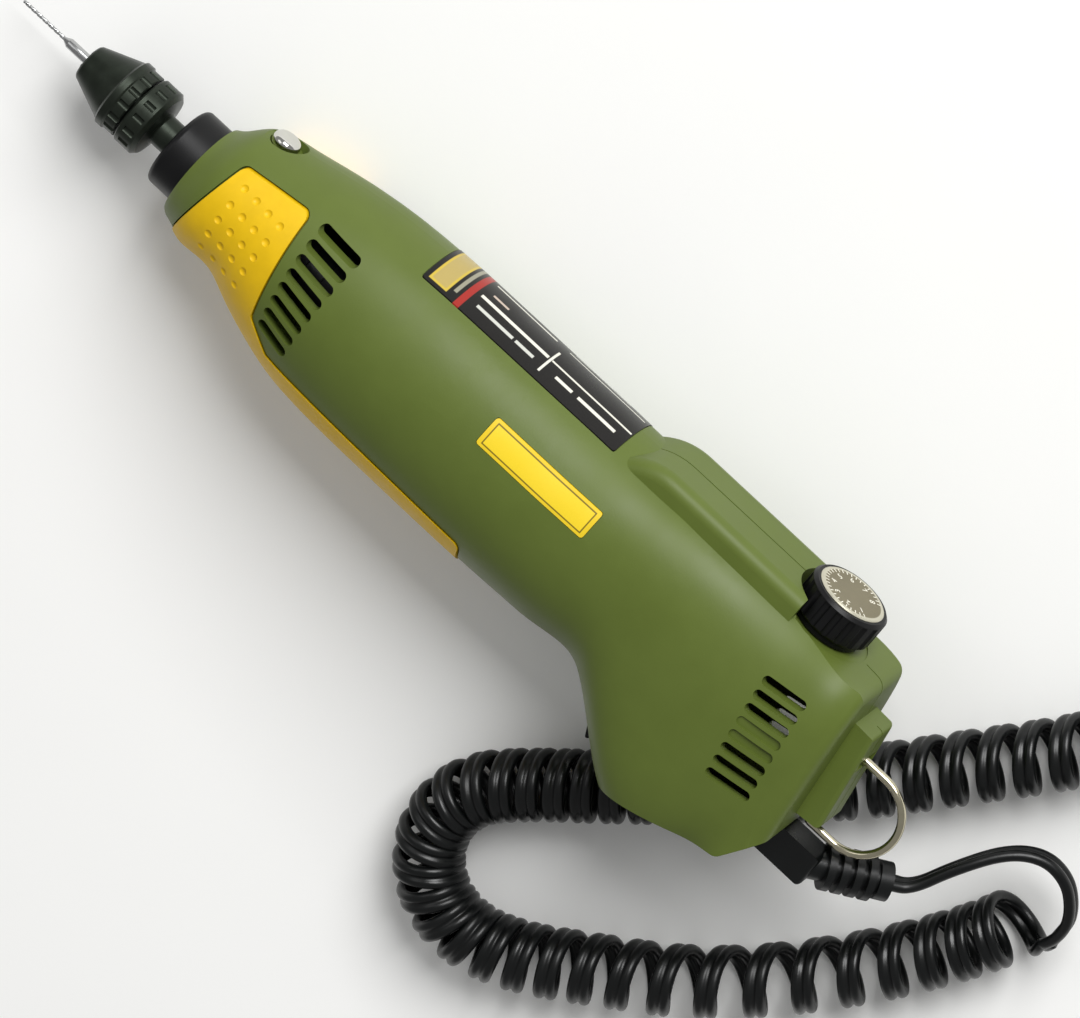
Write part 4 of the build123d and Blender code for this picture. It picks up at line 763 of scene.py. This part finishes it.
@dataclass
class SpeedDial:
    """Marks on the knob's disc: ticks round the rim and plain numbers inside them. Sizes in millimetres."""

    axis_x: float = KNOB_X
    face: float = 31.15
    proud: float = 0.05
    tick_radius: float = 6.8
    tick_length: float = 0.9
    tick_width: float = 0.22
    ticks: int = 29
    sweep: float = math.radians(280)
    number_radius: float = 5.0
    number_size: float = 2.1
    numbers: tuple[str, ...] = ("1", "2", "3", "4", "5", "6", "7", "8")

    def frames(self, count: int, radius: float) -> tuple[np.ndarray, np.ndarray, np.ndarray]:
        """Places round the dial, with the way outwards and the way round at each.

        Args:
            count: Number of places over the sweep.
            radius: Their distance from the axis.

        Returns:
            Middles, unit vectors away from the axis and unit vectors round it, one row each, in the tool's axes.
        """
        angle = np.linspace(-self.sweep / 2, self.sweep / 2, count) + math.pi
        still = np.zeros(count)
        outwards = np.stack([np.cos(angle), still, np.sin(angle)], axis=1)
        around = np.stack([-np.sin(angle), still, np.cos(angle)], axis=1)
        return np.array([self.axis_x, self.face, 0]) + radius * outwards, outwards, around

    def build(self) -> list[bpy.types.Object]:
        """Builds the ticks and the numbers.

        Returns:
            The two pieces, riding on the knob.
        """
        made = [self.build_ticks(), self.build_numbers()]
        for piece in made:
            dress(piece, ENAMEL)
            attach(piece, Body.KNOB.value)
            log.info("%s: %d faces", piece.name, len(piece.data.polygons))
        return made

    def build_ticks(self) -> bpy.types.Object:
        """Builds the ticks: rings of four corners, one under and one over the disc's face, as small blocks.

        Returns:
            The ticks as one object.
        """
        middles, outwards, around = self.frames(self.ticks, self.tick_radius)
        corners = np.array([(1, 1), (1, -1), (-1, -1), (-1, 1)]) / 2 * (self.tick_length, self.tick_width)
        ring = middles[:, None] + outwards[:, None] * corners[:, :1] + around[:, None] * corners[:, 1:]
        low, high = ring - (0, self.proud, 0), ring + (0, self.proud, 0)
        ticks = skin("dial_ticks", LIE.placed(np.stack([low, high], axis=1)))
        ticks.data.shade_flat()
        return ticks

    def build_numbers(self) -> bpy.types.Object:
        """Builds the numbers: flat text meshes, each laid on the disc with its head towards the rim.

        Returns:
            The numbers as one object.
        """
        points, faces, start = [], [], 0
        for text, middle, outwards, around in zip(self.numbers, *self.frames(len(self.numbers), self.number_radius)):
            curve = bpy.data.curves.new("number", "FONT")
            curve.body, curve.size, curve.extrude = text, self.number_size, self.proud
            curve.align_x, curve.align_y = "CENTER", "CENTER"
            flat, corners = meshed(curve)
            points.append(middle + flat[:, :1] * around + flat[:, 1:2] * outwards + flat[:, 2:] * (0, 1, 0))
            faces += [[start + corner for corner in face] for face in corners]
            start += len(flat)
        merged = bpy.data.meshes.new("dial_numbers")
        merged.from_pydata(LIE.placed(np.concatenate(points)).tolist(), [], faces)
        return shown("dial_numbers", merged)


@dataclass(frozen=True)
class Lamp:
    """A soft square lamp: where it hangs, its side, its power in watts and what it is aimed at, in metres.

    It hangs anywhere but straight over its aim.
    """

    name: str
    place: tuple[float, float, float]
    side: float
    watts: float
    aim: tuple[float, float, float] = (0.02, -0.01, 0.02)

    def build(self) -> bpy.types.Object:
        """Hangs the lamp, its face turned to its aim.

        Returns:
            The lamp.
        """
        light = bpy.data.lights.new(self.name, "AREA")
        light.shape, light.size, light.energy = "SQUARE", self.side, self.watts
        lamp = shown(self.name, light)
        place = np.array(self.place)
        back = unit(place - np.array(self.aim))
        right = unit(np.cross(UP, back))
        lamp.matrix_world = stood(right, np.cross(back, right), back, place)
        return lamp


@dataclass
class Studio:
    """A pale floor, soft lamps, a white surround and the photograph's camera.

    The floor and the clipping are in metres, the surround is a strength, the camera's distance and sensor are in
    millimetres, and the nose's place and the picture's size are in pixels.
    """

    floor_level: float = -0.0001
    floor_side: float = 6.0
    surround: float = 0.3
    lamps: tuple[Lamp, ...] = (
        Lamp("key_lamp", (0.1, 2.2, 1.75), 1.5, 92.0), Lamp("fill_lamp", (-1.1, 0.4, 1.2), 0.8, 2.0),
    )
    view_lift: float = math.radians(26)
    view_swing: float = math.radians(8)
    view_roll: float = math.radians(43)
    distance: float = 2000.0
    millimetres_per_pixel: float = 0.216
    nose_pixel: tuple[float, float] = (203.3, 167.8)
    picture: tuple[int, int] = (1080, 1018)
    sensor: float = 36.0
    clip: tuple[float, float] = (0.05, 20.0)

    def build(self) -> None:
        """Sets up the floor, the lamps, the surround and the camera."""
        self.lay_floor()
        for lamp in self.lamps:
            lamp.build()
        self.light_surround()
        self.place_camera()
        bpy.context.scene.view_settings.view_transform = "Standard"

    def lay_floor(self) -> bpy.types.Object:
        """Lays the floor: a flat square with a faint paper grain.

        Returns:
            The floor.
        """
        half = self.floor_side / 2
        corners = [(-half, -half), (half, -half), (half, half), (-half, half)]
        mesh = bpy.data.meshes.new("floor")
        mesh.from_pydata([(x, y, self.floor_level) for x, y in corners], [], [(0, 1, 2, 3)])
        floor = dress(shown("floor", mesh), PAPER)
        return floor

    def light_surround(self) -> None:
        """Surrounds the scene with an even soft white."""
        world = bpy.data.worlds.new("white_surround")
        world.use_nodes = True
        bpy.context.scene.world = world
        shader = world.node_tree.nodes["Background"]
        shader.inputs["Color"].default_value = linear("#FFFFFF")
        shader.inputs["Strength"].default_value = self.surround

    def place_camera(self) -> bpy.types.Object:
        """Places the camera by its lift, swing and roll about the tool's axes.

        The way to the camera has the lift towards the back and the swing towards the rear. The roll is the slope of
        the spindle's axis in the picture. The camera then stands so far off that a pixel is its size at the nose,
        and to the side by the nose's place in the picture.

        Returns:
            The camera.
        """
        away = LIE.turned(np.array([
            math.cos(self.view_lift) * math.sin(self.view_swing), math.sin(self.view_lift),
            math.cos(self.view_lift) * math.cos(self.view_swing),
        ]))
        rear = LIE.turned(np.array([1.0, 0, 0]))
        along = unit(rear - (rear @ away) * away)
        over = np.cross(away, along)
        right = math.cos(self.view_roll) * along + math.sin(self.view_roll) * over
        up = np.cross(away, right)
        width, height = self.picture
        to_right = (self.nose_pixel[0] - width / 2) * self.millimetres_per_pixel
        to_top = (height / 2 - self.nose_pixel[1]) * self.millimetres_per_pixel
        place = np.array(LIE.nose) + away * self.distance - right * to_right - up * to_top
        lens = bpy.data.cameras.new("camera")
        lens.sensor_fit, lens.sensor_width = "HORIZONTAL", self.sensor
        lens.lens = self.distance / self.millimetres_per_pixel / width * self.sensor
        lens.clip_start, lens.clip_end = self.clip
        camera = shown("camera", lens)
        camera.matrix_world = stood(right, up, away, place * MM)
        bpy.context.scene.camera = camera
        return camera


def dress_nodes() -> None:
    """Gives every carried-over solid the finish of its slot, and a few their own."""
    own = {"knob_dial": DIAL, "hanging_bail": NICKEL}
    for part in frame["record"]["subparts"]:
        dress(frame["nodes"][part["node"]], own.get(part["node"]) or BY_SLOT[part["material_slot"]])
        log.info("%s: %s", part["node"], part["material_slot"])


def main() -> None:
    """Builds the pieces in order, then the studio."""
    logging.basicConfig(level=logging.INFO, format="%(name)s %(message)s")
    Studio().build()
    CurlyCord().build()
    dress_nodes()
    TwistBit().build()
    SpeedDial().build()


if __name__ == "__main__":
    main()
